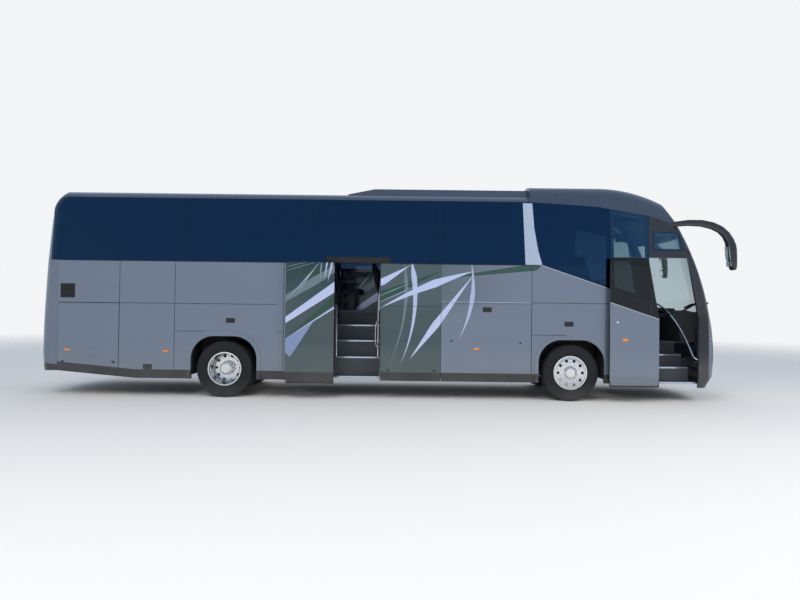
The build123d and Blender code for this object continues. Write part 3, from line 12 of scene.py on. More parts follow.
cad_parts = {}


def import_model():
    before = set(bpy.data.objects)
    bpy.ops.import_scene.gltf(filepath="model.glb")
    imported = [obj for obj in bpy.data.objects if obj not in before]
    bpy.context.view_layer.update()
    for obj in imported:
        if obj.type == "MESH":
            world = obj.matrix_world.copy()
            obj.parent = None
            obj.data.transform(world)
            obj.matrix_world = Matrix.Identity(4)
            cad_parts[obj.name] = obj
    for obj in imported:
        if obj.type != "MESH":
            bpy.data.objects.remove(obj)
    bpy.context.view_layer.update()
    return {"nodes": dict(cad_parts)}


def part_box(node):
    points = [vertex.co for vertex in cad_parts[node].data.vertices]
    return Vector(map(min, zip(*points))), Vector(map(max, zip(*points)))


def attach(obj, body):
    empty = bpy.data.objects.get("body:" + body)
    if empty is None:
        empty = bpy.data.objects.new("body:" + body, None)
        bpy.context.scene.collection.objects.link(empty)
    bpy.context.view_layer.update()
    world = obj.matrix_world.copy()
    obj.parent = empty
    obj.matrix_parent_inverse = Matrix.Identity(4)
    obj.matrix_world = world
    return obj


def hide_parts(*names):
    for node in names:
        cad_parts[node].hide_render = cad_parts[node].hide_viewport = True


LOG = logging.getLogger("coach")
SIDE_Y = 1.275
RIGHT, LEFT = -1, 1
SIDES = ((RIGHT, "right"), (LEFT, "left"))

DUST = (0.30, 0.28, 0.25)
DUST_GAIN = 4.0
DUST_ROUGHENS = 0.4
TONE_ROUGHENS = 0.10
COAT_ROUGHNESS = 0.04
BUMP_DEPTH = 0.002
MERGE_DISTANCE = 0.00005
SHARP_DEGREES = 35.0

Colour = tuple[float, float, float]
Point = tuple[float, float, float]
Pair = tuple[float, float]


def span(side: int, inner: float, outer: float) -> Pair:
    """Give the lower and the higher Y between two distances from the middle plane.

    Args:
        side: Which side of the coach is meant.
        inner: The first distance.
        outer: The second distance.

    Returns:
        The lower Y and the higher Y.
    """
    low, high = sorted((side * inner, side * outer))
    return low, high


class Graph:
    """Writes the nodes of one material or node group."""

    def __init__(self, tree: bpy.types.NodeTree) -> None:
        """Keep the tree that the nodes go into.

        Args:
            tree: The node tree of a material or a group.
        """
        self.tree = tree

    def add(self, kind: str, **values: object) -> bpy.types.Node:
        """Add a node and set its properties.

        Args:
            kind: The node's type name.
            **values: Properties of the node by name.

        Returns:
            The new node.
        """
        node = self.tree.nodes.new(kind)
        for key, value in values.items():
            setattr(node, key, value)
        return node

    def feed(self, socket: bpy.types.NodeSocket, value: object) -> None:
        """Link a socket or set its value.

        Args:
            socket: The input to feed.
            value: Another node's output, a number or a colour.
        """
        if isinstance(value, bpy.types.NodeSocket):
            self.tree.links.new(value, socket)
        else:
            socket.default_value = value

    def math(self, operation: str, first: object, second: object = 0.0, third: object = 0.0,
             clamp: bool = False) -> bpy.types.NodeSocket:
        """Add a Math node.

        Args:
            operation: The node's operation.
            first: Its first input.
            second: Its second input.
            third: Its third input, where the operation has one.
            clamp: Whether the result is kept between 0 and 1.

        Returns:
            The node's output.
        """
        node = self.add("ShaderNodeMath", operation=operation, use_clamp=clamp)
        self.feed(node.inputs[0], first)
        self.feed(node.inputs[1], second)
        self.feed(node.inputs[2], third)
        return node.outputs[0]

    def step(self, value: object, edge: float, soft: float) -> bpy.types.NodeSocket:
        """Rise from 0 to 1 around an edge.

        Args:
            value: The value that is compared.
            edge: Where the rise is half done.
            soft: The width of the rise.

        Returns:
            The risen value.
        """
        node = self.add("ShaderNodeMapRange", interpolation_type="SMOOTHSTEP")
        self.feed(node.inputs["Value"], value)
        node.inputs["From Min"].default_value = edge - soft / 2
        node.inputs["From Max"].default_value = edge + soft / 2
        return node.outputs["Result"]

    def mix(self, factor: object, under: object, over: object) -> bpy.types.NodeSocket:
        """Mix two colours.

        Args:
            factor: How much of the second colour shows.
            under: The first colour.
            over: The second colour.

        Returns:
            The mixed colour.
        """
        node = self.add("ShaderNodeMix", data_type="RGBA")
        self.feed(node.inputs[0], factor)
        for socket, value in ((node.inputs[6], under), (node.inputs[7], over)):
            self.feed(socket, (*value, 1.0) if isinstance(value, tuple) else value)
        return node.outputs[2]

    def place(self) -> tuple[bpy.types.NodeSocket, bpy.types.NodeSocket, bpy.types.NodeSocket,
                             bpy.types.NodeSocket]:
        """Read the Object coordinates.

        Returns:
            The coordinates and their X, Y and Z.
        """
        place = self.add("ShaderNodeTexCoord").outputs["Object"]
        split = self.add("ShaderNodeSeparateXYZ")
        self.feed(split.inputs[0], place)
        return place, split.outputs[0], split.outputs[1], split.outputs[2]

    def noise(self, vector: object, scale: object, detail: float = 3.0) -> bpy.types.NodeSocket:
        """Add a Noise Texture.

        Args:
            vector: Where it is read.
            scale: Its scale.
            detail: Its detail.

        Returns:
            The noise's value.
        """
        node = self.add("ShaderNodeTexNoise")
        node.inputs["Detail"].default_value = detail
        self.feed(node.inputs["Vector"], vector)
        self.feed(node.inputs["Scale"], scale)
        return node.outputs["Fac"]

    def group(self, name: str, **values: object) -> bpy.types.Node:
        """Place a shared group.

        Args:
            name: The group's name.
            **values: Its inputs by name, with spaces written as underscores.

        Returns:
            The group's node.
        """
        node = self.add("ShaderNodeGroup", node_tree=bpy.data.node_groups[name])
        for key, value in values.items():
            self.feed(node.inputs[key.replace("_", " ")], value)
        return node


@dataclass(frozen=True)
class SharedGroups:
    """The effects that more than one finish uses."""

    broad_share: float = 0.04
    patch_scale: float = 2.6
    speckle_scale: float = 90.0

    @staticmethod
    def start(name: str, inputs: dict[str, str], outputs: dict[str, str]) -> tuple[
            Graph, bpy.types.Node, bpy.types.Node]:
        """Open a new group.

        Args:
            name: The group's name.
            inputs: Socket types by input name.
            outputs: Socket types by output name.

        Returns:
            The graph and its input and output nodes.
        """
        tree = bpy.data.node_groups.new(name, "ShaderNodeTree")
        for label, kind in inputs.items():
            tree.interface.new_socket(label, in_out="INPUT", socket_type=f"NodeSocket{kind}")
        for label, kind in outputs.items():
            tree.interface.new_socket(label, in_out="OUTPUT", socket_type=f"NodeSocket{kind}")
        graph = Graph(tree)
        return graph, graph.add("NodeGroupInput"), graph.add("NodeGroupOutput")

    def grain(self) -> None:
        """Fine and coarse unevenness of a surface: a height for bump and a tone for colour."""
        graph, given, result = self.start(
            "surface_grain", {"Vector": "Vector", "Scale": "Float"},
            {"Height": "Float", "Tone": "Float"})
        fine = graph.noise(given.outputs["Vector"], given.outputs["Scale"], 4.0)
        broad = graph.noise(given.outputs["Vector"],
                            graph.math("MULTIPLY", given.outputs["Scale"], self.broad_share),
                            2.0)
        graph.feed(result.inputs["Height"], fine)
        graph.feed(result.inputs["Tone"], broad)

    def road_dust(self) -> None:
        """A mask of the pale dust that lies on the lower parts of a vehicle."""
        graph, given, result = self.start(
            "road_dust", {"Vector": "Vector", "Top": "Float", "Amount": "Float"},
            {"Mask": "Float"})
        split = graph.add("ShaderNodeSeparateXYZ")
        graph.feed(split.inputs[0], given.outputs["Vector"])
        rise = graph.math("DIVIDE", split.outputs[2], given.outputs["Top"])
        low = graph.math("SUBTRACT", 1.0, rise, clamp=True)
        patches = graph.noise(given.outputs["Vector"], self.patch_scale, 5.0)
        speckle = graph.noise(given.outputs["Vector"], self.speckle_scale, 2.0)
        mixed = graph.math("MULTIPLY", patches, speckle)
        mask = graph.math("MULTIPLY", graph.math("MULTIPLY", mixed, low), given.outputs["Amount"],
                          clamp=True)
        graph.feed(result.inputs["Mask"], mask)

    def weave(self) -> None:
        """Crossed threads: a height for bump and a mask of the upper threads."""
        graph, given, result = self.start(
            "cloth_weave", {"Vector": "Vector", "Scale": "Float"},
            {"Height": "Float", "Mask": "Float"})
        split = graph.add("ShaderNodeSeparateXYZ")
        graph.feed(split.inputs[0], given.outputs["Vector"])
        across = graph.math("ADD", split.outputs[0], split.outputs[2])
        waves = []
        for direction in (across, split.outputs[1]):
            turned = graph.math("MULTIPLY", direction, given.outputs["Scale"])
            waves.append(graph.math("SINE", turned))
        product = graph.math("MULTIPLY", waves[0], waves[1])
        graph.feed(result.inputs["Height"], product)
        graph.feed(result.inputs["Mask"], graph.math("MULTIPLY_ADD", product, 0.5, 0.5))

    def build(self) -> None:
        """Build every group once."""
        self.grain()
        self.road_dust()
        self.weave()


@dataclass(frozen=True)
class Finish:
    """An opaque finish with grain, tone and road dust."""

    name: str
    colour: Colour
    roughness: float = 0.4
    metallic: float = 0.0
    coat: float = 0.0
    grain_scale: float = 120.0
    bump: float = 0.05
    tone: float = 0.12
    dust: float = 0.25
    dust_top: float = 1.1

    def base(self, graph: Graph) -> object:
        """Give the plain colour; finishes with a pattern draw it here.

        Args:
            graph: The material's graph.

        Returns:
            A colour or the output that carries it.
        """
        return self.colour

    def shader(self) -> tuple[bpy.types.Material, Graph, bpy.types.Node]:
        """Make the material and set the numbers that are the same all over.

        Returns:
            The material, its graph and its Principled node.
        """
        material = bpy.data.materials.new(self.name)
        material.use_nodes = True
        graph = Graph(material.node_tree)
        shader = material.node_tree.nodes["Principled BSDF"]
        shader.inputs["Metallic"].default_value = self.metallic
        shader.inputs["Coat Weight"].default_value = self.coat
        shader.inputs["Coat Roughness"].default_value = COAT_ROUGHNESS
        return material, graph, shader

    def build(self) -> bpy.types.Material:
        """Make the whole material.

        Returns:
            The material.
        """
        material, graph, shader = self.shader()
        place = graph.add("ShaderNodeTexCoord").outputs["Object"]
        grain = graph.group("surface_grain", Vector=place, Scale=self.grain_scale)
        dust = graph.group("road_dust", Vector=place, Top=self.dust_top,
                           Amount=self.dust * DUST_GAIN)
        base = self.base(graph)
        darker = tuple(value * (1 - self.tone) for value in self.colour)
        toned = graph.mix(graph.math("MULTIPLY", grain.outputs["Tone"], self.tone), base, darker)
        dusty = graph.mix(dust.outputs["Mask"], toned, DUST)
        graph.feed(shader.inputs["Base Color"], dusty)
        rough = graph.math("MULTIPLY_ADD", grain.outputs["Tone"], TONE_ROUGHENS,
                           self.roughness - TONE_ROUGHENS / 2)
        graph.feed(shader.inputs["Roughness"],
                   graph.math("MULTIPLY_ADD", dust.outputs["Mask"], DUST_ROUGHENS, rough))
        if self.bump:
            bump = graph.add("ShaderNodeBump")
            bump.inputs["Strength"].default_value = self.bump
            bump.inputs["Distance"].default_value = BUMP_DEPTH
            graph.feed(bump.inputs["Height"], grain.outputs["Height"])
            graph.feed(shader.inputs["Normal"], bump.outputs["Normal"])
        return material


@dataclass(frozen=True)
class Sweep:
    """One tapering blade of the livery, along a bowed line in X and Z."""

    start: Pair
    end: Pair
    bow: float
    width: float
    peak: float
    colour: Colour
    strength: float = 1.0
    soft: float = 0.006

    def mask(self, graph: Graph, along: object, height: object) -> bpy.types.NodeSocket:
        """Draw the blade, widest at its peak and pointed at both ends.

        Args:
            graph: The material's graph.
            along: The X that it is read at.
            height: The Z that it is read at.

        Returns:
            Its mask.
        """
        run, rise = self.end[0] - self.start[0], self.end[1] - self.start[1]
        length = math.hypot(run, rise)
        across = graph.math("SUBTRACT", along, self.start[0])
        above = graph.math("SUBTRACT", height, self.start[1])
        share = graph.math("MULTIPLY_ADD", above, rise / length ** 2,
                           graph.math("MULTIPLY", across, run / length ** 2))
        off = graph.math("MULTIPLY_ADD", above, run / length,
                         graph.math("MULTIPLY", across, -rise / length))
        rest = graph.math("SUBTRACT", 1.0, share)
        if self.bow:
            arch = graph.math("MULTIPLY", graph.math("MULTIPLY", share, rest), 4.0 * self.bow)
            off = graph.math("SUBTRACT", off, arch)
        half = graph.math("MINIMUM", graph.math("MULTIPLY", share, self.width / self.peak),
                          graph.math("MULTIPLY", rest, self.width / (1.001 - self.peak)))
        inside = graph.math("SUBTRACT", half, graph.math("ABSOLUTE", off))
        return graph.math("MULTIPLY", graph.step(inside, 0.0, self.soft), self.strength)


TEAL = (0.005, 0.040, 0.042)
GREEN = (0.012, 0.066, 0.034)
LILAC = (0.56, 0.62, 0.84)
DUSK = (0.27, 0.33, 0.55)
SAGE = (0.052, 0.082, 0.086)
MIST = (0.26, 0.33, 0.37)
VEIL = (0.085, 0.115, 0.125)
STRIP_BLACK = (0.010, 0.011, 0.013)
SILVER = (0.172, 0.207, 0.262)
DOOR_SWEEPS = (
    Sweep((-0.83, 1.86), (-0.23, 2.43), 0.0, 0.100, 0.60, GREEN, 0.8),
    Sweep((-2.14, 1.07), (0.72, 2.85), 0.0, 0.075, 0.60, MIST, 0.55),
    Sweep((-0.43, 1.42), (-0.97, 0.88), 0.0, 0.165, 1.00, DUSK, 0.85),
    Sweep((-0.90, 1.13), (0.34, 2.12), 0.0, 0.095, 1.00, GREEN),
    Sweep((-2.14, 0.60), (0.72, 2.57), 0.0, 0.100, 0.90, LILAC),
    Sweep((-0.91, 1.11), (0.48, 2.02), 0.0, 0.026, 1.00, LILAC),
    Sweep((-1.20, 2.32), (-0.40, 2.52), 0.0, 0.006, 0.50, MIST, 0.7),
    Sweep((-1.20, 2.24), (-0.20, 2.54), 0.0, 0.006, 0.50, MIST, 0.7),
    Sweep((-0.90, 1.81), (-0.30, 2.51), 0.0, 0.009, 0.50, LILAC, 0.7),
    Sweep((-0.74, 1.92), (-0.34, 2.49), 0.0, 0.009, 0.50, LILAC, 0.7),
    Sweep((-0.30, 2.52), (-0.33, 2.10), 0.0, 0.012, 0.30, MIST),
    Sweep((-0.19, 2.56), (-0.25, 2.15), 0.0, 0.017, 0.30, LILAC, 0.8),
    Sweep((-0.09, 2.56), (-0.19, 2.12), 0.0, 0.024, 0.30, LILAC, 0.8),
)
PANEL_SWEEPS = (
    Sweep((-0.60, 1.65), (1.07, 2.36), 0.0, 0.085, 0.35, GREEN),
    Sweep((0.90, 2.20), (2.86, 2.455), 0.0, 0.065, 0.95, GREEN, 0.9),
    Sweep((-0.25, 1.81), (0.56, 2.16), 0.0, 0.007, 0.50, LILAC, 0.6),
    Sweep((-0.25, 1.70), (0.73, 2.13), 0.0, 0.007, 0.50, LILAC, 0.6),
    Sweep((-0.36, 1.94), (0.48, 2.45), 0.0, 0.062, 0.42, LILAC),
    Sweep((0.36, 2.56), (0.10, 0.62), 0.15, 0.034, 0.20, MIST, 0.5),
    Sweep((0.49, 2.56), (0.31, 0.64), 0.16, 0.050, 0.15, LILAC, 0.9),
    Sweep((1.58, 2.56), (1.36, 1.09), 0.135, 0.042, 0.45, LILAC, 0.75),
    Sweep((-0.07, 1.66), (1.63, 2.35), 0.055, 0.072, 0.60, LILAC),
    Sweep((0.48, 0.74), (1.64, 2.30), 0.0, 0.066, 0.40, LILAC),
)


@dataclass(frozen=True)
class BodyPaint(Finish):
    """Metallic body paint with the livery, the dark lower strip and, where set, a dark pillar."""

    roughness: float = 0.30
    metallic: float = 0.55
    coat: float = 0.6
    grain_scale: float = 900.0
    bump: float = 0.02
    tone: float = 0.08
    dust: float = 0.22
    shift: float = 0.0
    strip_top: float = 0.50
    livery: bool = True
    pillar: float = 0.0
    zone: Pair = (-0.945, 1.049)
    door_edge: float = -0.06
    fade_middle: float = 2.02
    fade_width: float = 1.1
    veil_edge: float = 1.70
    veil_end: float = 1.6
    tail_from: float = -4.51
    tail_slope: float = 0.088
    nose_from: float = 5.0

    def livery_over(self, graph: Graph, along: object, height: object) -> object:
        """Draw the dark zone, its pale veil and the sweeps over the paint.

        Args:
            graph: The material's graph.
            along: The X that it is read at.
            height: The Z that it is read at.

        Returns:
            The colour's output.
        """
        back = graph.step(along, self.zone[0], 0.004)
        zone = graph.math("MULTIPLY", back, graph.math("SUBTRACT", 1.0,
                                                       graph.step(along, self.zone[1], 0.004)))
        fade = graph.math("SUBTRACT", 1.0, graph.step(height, self.fade_middle, self.fade_width))
        colour = graph.mix(zone, self.colour, graph.mix(fade, TEAL, SAGE))
        upper = graph.math("MULTIPLY", graph.step(height, self.veil_edge, 0.4),
                           graph.math("SUBTRACT", 1.0, graph.step(along, self.veil_end, 1.7)))
        front = graph.step(along, self.door_edge, 0.002)
        ahead = graph.math("MULTIPLY", front, upper)
        colour = graph.mix(graph.math("MULTIPLY", ahead, 0.75), colour, VEIL)
        for sweeps, part in ((DOOR_SWEEPS, graph.math("SUBTRACT", back, front)),
                             (PANEL_SWEEPS, front)):
            for sweep in sweeps:
                mask = graph.math("MULTIPLY", sweep.mask(graph, along, height), part)
                colour = graph.mix(mask, colour, sweep.colour)
        return colour

    def base(self, graph: Graph) -> object:
        """Draw the paint's pattern.

        Args:
            graph: The material's graph.

        Returns:
            The colour's output.
        """
        _, along, across, height = graph.place()
        if self.shift:
            along = graph.math("ADD", along, self.shift)
        colour = self.livery_over(graph, along, height) if self.livery else self.colour
        rise = graph.math("MULTIPLY", graph.math("SUBTRACT", self.tail_from, along),
                          self.tail_slope)
        lifted = graph.math("SUBTRACT", height, graph.math("MAXIMUM", rise, 0.0))
        strip = graph.math("SUBTRACT", 1.0, graph.step(lifted, self.strip_top, 0.003))
        if self.pillar:
            column = graph.math("SUBTRACT", 1.0, graph.step(along, self.pillar, 0.003))
            near = graph.math("MULTIPLY", graph.step(along, self.nose_from, 0.01),
                              graph.math("SUBTRACT", 1.0, graph.step(across, 0.0, 0.01)))
            strip = graph.math("MAXIMUM", strip, graph.math("MULTIPLY", column, near))
        return graph.mix(strip, colour, STRIP_BLACK)


@dataclass(frozen=True)
class LampColours(Finish):
    """A lens with its colours in bands of height, and its ribs drawn as painted shade in darker
    stripes.
    """

    bands: tuple[tuple[float, Colour], ...] = ()
    rib_rate: float = 420.0
    rib_shade_colour: Colour = (0.02, 0.0, 0.0)

    def base(self, graph: Graph) -> object:
        """Draw the bands from the lowest up, then the painted shade of the ribs.

        Args:
            graph: The material's graph.

        Returns:
            The colour's output.
        """
        _, _, across, height = graph.place()
        colour: object = self.colour
        for edge, band in self.bands:
            colour = graph.mix(graph.step(height, edge, 0.004), colour, band)
        # The ribs are painted shade: darker stripes in the colour, with no relief
        ribs = graph.math("SINE", graph.math("MULTIPLY", across, self.rib_rate))
        shade = graph.math("MULTIPLY_ADD", ribs, 0.12, 0.14)
        return graph.mix(shade, colour, self.rib_shade_colour)


@dataclass(frozen=True)
class Upholstery(Finish):
    """Woven seat cloth with scattered strokes of a second colour."""

    second: Colour = (0.10, 0.16, 0.24)
    stroke_scale: Point = (9.0, 30.0, 9.0)
    thread_scale: float = 2200.0

    def base(self, graph: Graph) -> object:
        """Draw the threads and strokes.

        Args:
            graph: The material's graph.

        Returns:
            The colour's output.
        """
        place = graph.add("ShaderNodeTexCoord").outputs["Object"]
        stretch = graph.add("ShaderNodeMapping")
        stretch.inputs["Scale"].default_value = self.stroke_scale
        graph.feed(stretch.inputs["Vector"], place)
        strokes = graph.step(graph.noise(stretch.outputs[0], 1.0, 1.0), 0.60, 0.03)
        weave = graph.group("cloth_weave", Vector=place, Scale=self.thread_scale)
        ground = graph.mix(weave.outputs["Mask"], self.colour,
                           tuple(value * 0.6 for value in self.colour))
        return graph.mix(strokes, ground, self.second)


@dataclass(frozen=True)
class Glazing:
    """Clear or tinted glass; its tint may change ahead of a place along the coach, and its
    reflections may take a tint, which is a painted reflection.
    """

    name: str
    tint: Colour
    ahead_tint: Colour = (0.0, 0.0, 0.0)
    ahead_of: float = 99.0
    roughness: float = 0.01
    ior: float = 1.45
    # Tint of the reflections: on the side glass a painted reflection, the blue of a sky
    painted_reflection_tint: Colour = (1.0, 1.0, 1.0)

    def build(self) -> bpy.types.Material:
        """Make the glass.

        Returns:
            The material.
        """
        material = bpy.data.materials.new(self.name)
        material.use_nodes = True
        graph = Graph(material.node_tree)
        shader = material.node_tree.nodes["Principled BSDF"]
        shader.inputs["Transmission Weight"].default_value = 1.0
        shader.inputs["IOR"].default_value = self.ior
        # The reflections take this tint: a painted reflection colour
        shader.inputs["Specular Tint"].default_value = (*self.painted_reflection_tint, 1.0)
        place, along, _, _ = graph.place()
        tint = graph.mix(graph.step(along, self.ahead_of, 0.02), self.tint, self.ahead_tint)
        graph.feed(shader.inputs["Base Color"], tint)
        smear = graph.noise(place, 3.0, 4.0)
        graph.feed(shader.inputs["Roughness"],
                   graph.math("MULTIPLY_ADD", smear, 0.02, self.roughness))
        return material


class Look(Enum):
    """Every finish on the coach."""

    PAINT = BodyPaint("paint_silver", SILVER)
    DOOR_PAINT = BodyPaint("paint_middle_door", SILVER, shift=0.822)
    CAB_DOOR_PAINT = BodyPaint("paint_front_door", SILVER, strip_top=0.32, livery=False)
    MASK_PAINT = BodyPaint("paint_masks", (0.152, 0.184, 0.234), strip_top=0.45, livery=False,
                           pillar=5.925)
    ROOF = Finish("paint_roof", (0.040, 0.056, 0.084), roughness=0.26, metallic=0.5, coat=0.8,
                  grain_scale=900.0, bump=0.02, tone=0.1, dust=0.0)
    PEARL = Finish("blade_silver", (0.55, 0.60, 0.70), roughness=0.22, metallic=0.7, coat=0.5,
                   grain_scale=900.0, bump=0.02, tone=0.05, dust=0.0)
    BLACK_GLOSS = Finish("black_gloss", (0.010, 0.012, 0.016), roughness=0.15, coat=0.5,
                         grain_scale=300.0, bump=0.0, tone=0.2, dust=0.05)
    BLACK_PLASTIC = Finish("black_plastic", (0.018, 0.018, 0.020), roughness=0.55,
                           grain_scale=900.0, bump=0.25, tone=0.2, dust=0.15)
    SEAL = Finish("rubber_seal", (0.012, 0.012, 0.012), roughness=0.7, grain_scale=500.0, bump=0.1,
                  tone=0.2, dust=0.2)
    TYRE = Finish("tyre_rubber", (0.011, 0.011, 0.012), roughness=0.78, grain_scale=700.0,
                  bump=0.35, tone=0.3, dust=0.12, dust_top=0.35)
    POLISHED = Finish("polished_aluminium", (0.80, 0.80, 0.80), roughness=0.13, metallic=1.0,
                      grain_scale=160.0, bump=0.04, tone=0.25, dust=0.10)
    CHROME = Finish("chrome", (0.86, 0.87, 0.88), roughness=0.06, metallic=1.0, grain_scale=100.0,
                    bump=0.0, tone=0.05, dust=0.0)
    STEEL = Finish("frame_steel", (0.045, 0.045, 0.048), roughness=0.55, metallic=0.3,
                   grain_scale=260.0, bump=0.3, tone=0.3, dust=0.5, dust_top=1.5)
    CAST = Finish("cast_iron", (0.10, 0.095, 0.09), roughness=0.6, metallic=0.6, grain_scale=420.0,
                  bump=0.5, tone=0.3, dust=0.4, dust_top=1.8)
    STAIRS = Finish("stair_covering", (0.050, 0.055, 0.062), roughness=0.65, grain_scale=1500.0,
                    bump=0.5, tone=0.3, dust=0.1)
    FLOORING = Finish("floor_covering", (0.060, 0.075, 0.10), roughness=0.5, grain_scale=1600.0,
                      bump=0.3, tone=0.25, dust=0.05)
    LINING = Finish("inner_lining", (0.16, 0.17, 0.18), roughness=0.75, grain_scale=900.0, bump=0.3,
                    tone=0.15, dust=0.0)
    DASH = Finish("dash_plastic", (0.038, 0.040, 0.044), roughness=0.6, grain_scale=1300.0,
                  bump=0.5, tone=0.2, dust=0.0)
    SCREEN = Finish("dark_display", (0.006, 0.010, 0.016), roughness=0.08, coat=0.6,
                    grain_scale=100.0, bump=0.0, tone=0.1, dust=0.0)
    DIAL = Finish("dial_white", (0.62, 0.64, 0.66), roughness=0.5, grain_scale=300.0, bump=0.0,
                  tone=0.1, dust=0.0)
    CLOTH = Upholstery("seat_cloth", (0.035, 0.050, 0.085), roughness=0.9, grain_scale=900.0,
                       bump=0.5, tone=0.2, dust=0.0)
    TRIM_GREY = Finish("seat_shell", (0.10, 0.10, 0.11), roughness=0.5, grain_scale=900.0, bump=0.3,
                       tone=0.2, dust=0.0)
    AMBER = Finish("amber_lens", (0.75, 0.22, 0.01), roughness=0.2, coat=0.6, grain_scale=300.0,
                   bump=0.1, tone=0.2, dust=0.0)
    TAIL = LampColours("tail_lens", (0.42, 0.006, 0.006), roughness=0.15, coat=0.8,
                       grain_scale=200.0, bump=0.0, tone=0.1, dust=0.0,
                       bands=((1.19, (0.72, 0.72, 0.70)), (1.31, (0.70, 0.20, 0.01)),
                              (1.48, (0.50, 0.008, 0.008))))
    # The side glass's reflections are tinted blue: a painted sky reflection
    SIDE_GLASS = Glazing("side_glazing", (0.020, 0.040, 0.085), ahead_tint=(0.42, 0.52, 0.52),
                         ahead_of=4.13, ior=1.85, painted_reflection_tint=(0.16, 0.48, 1.0))
    SCREEN_GLASS = Glazing("windscreen_glazing", (0.62, 0.72, 0.70))
    DOOR_GLASS = Glazing("door_glazing", (0.10, 0.14, 0.16))
    LENS = Glazing("lamp_lens", (0.90, 0.92, 0.94))
    MIRROR = Finish("mirror_silver", (0.85, 0.88, 0.90), roughness=0.03, metallic=1.0,
                    grain_scale=100.0, bump=0.0, tone=0.02, dust=0.0)

    @property
    def material(self) -> bpy.types.Material:
        """The finish's material, made on first use."""
        found = bpy.data.materials.get(self.value.name)
        return found or self.value.build()


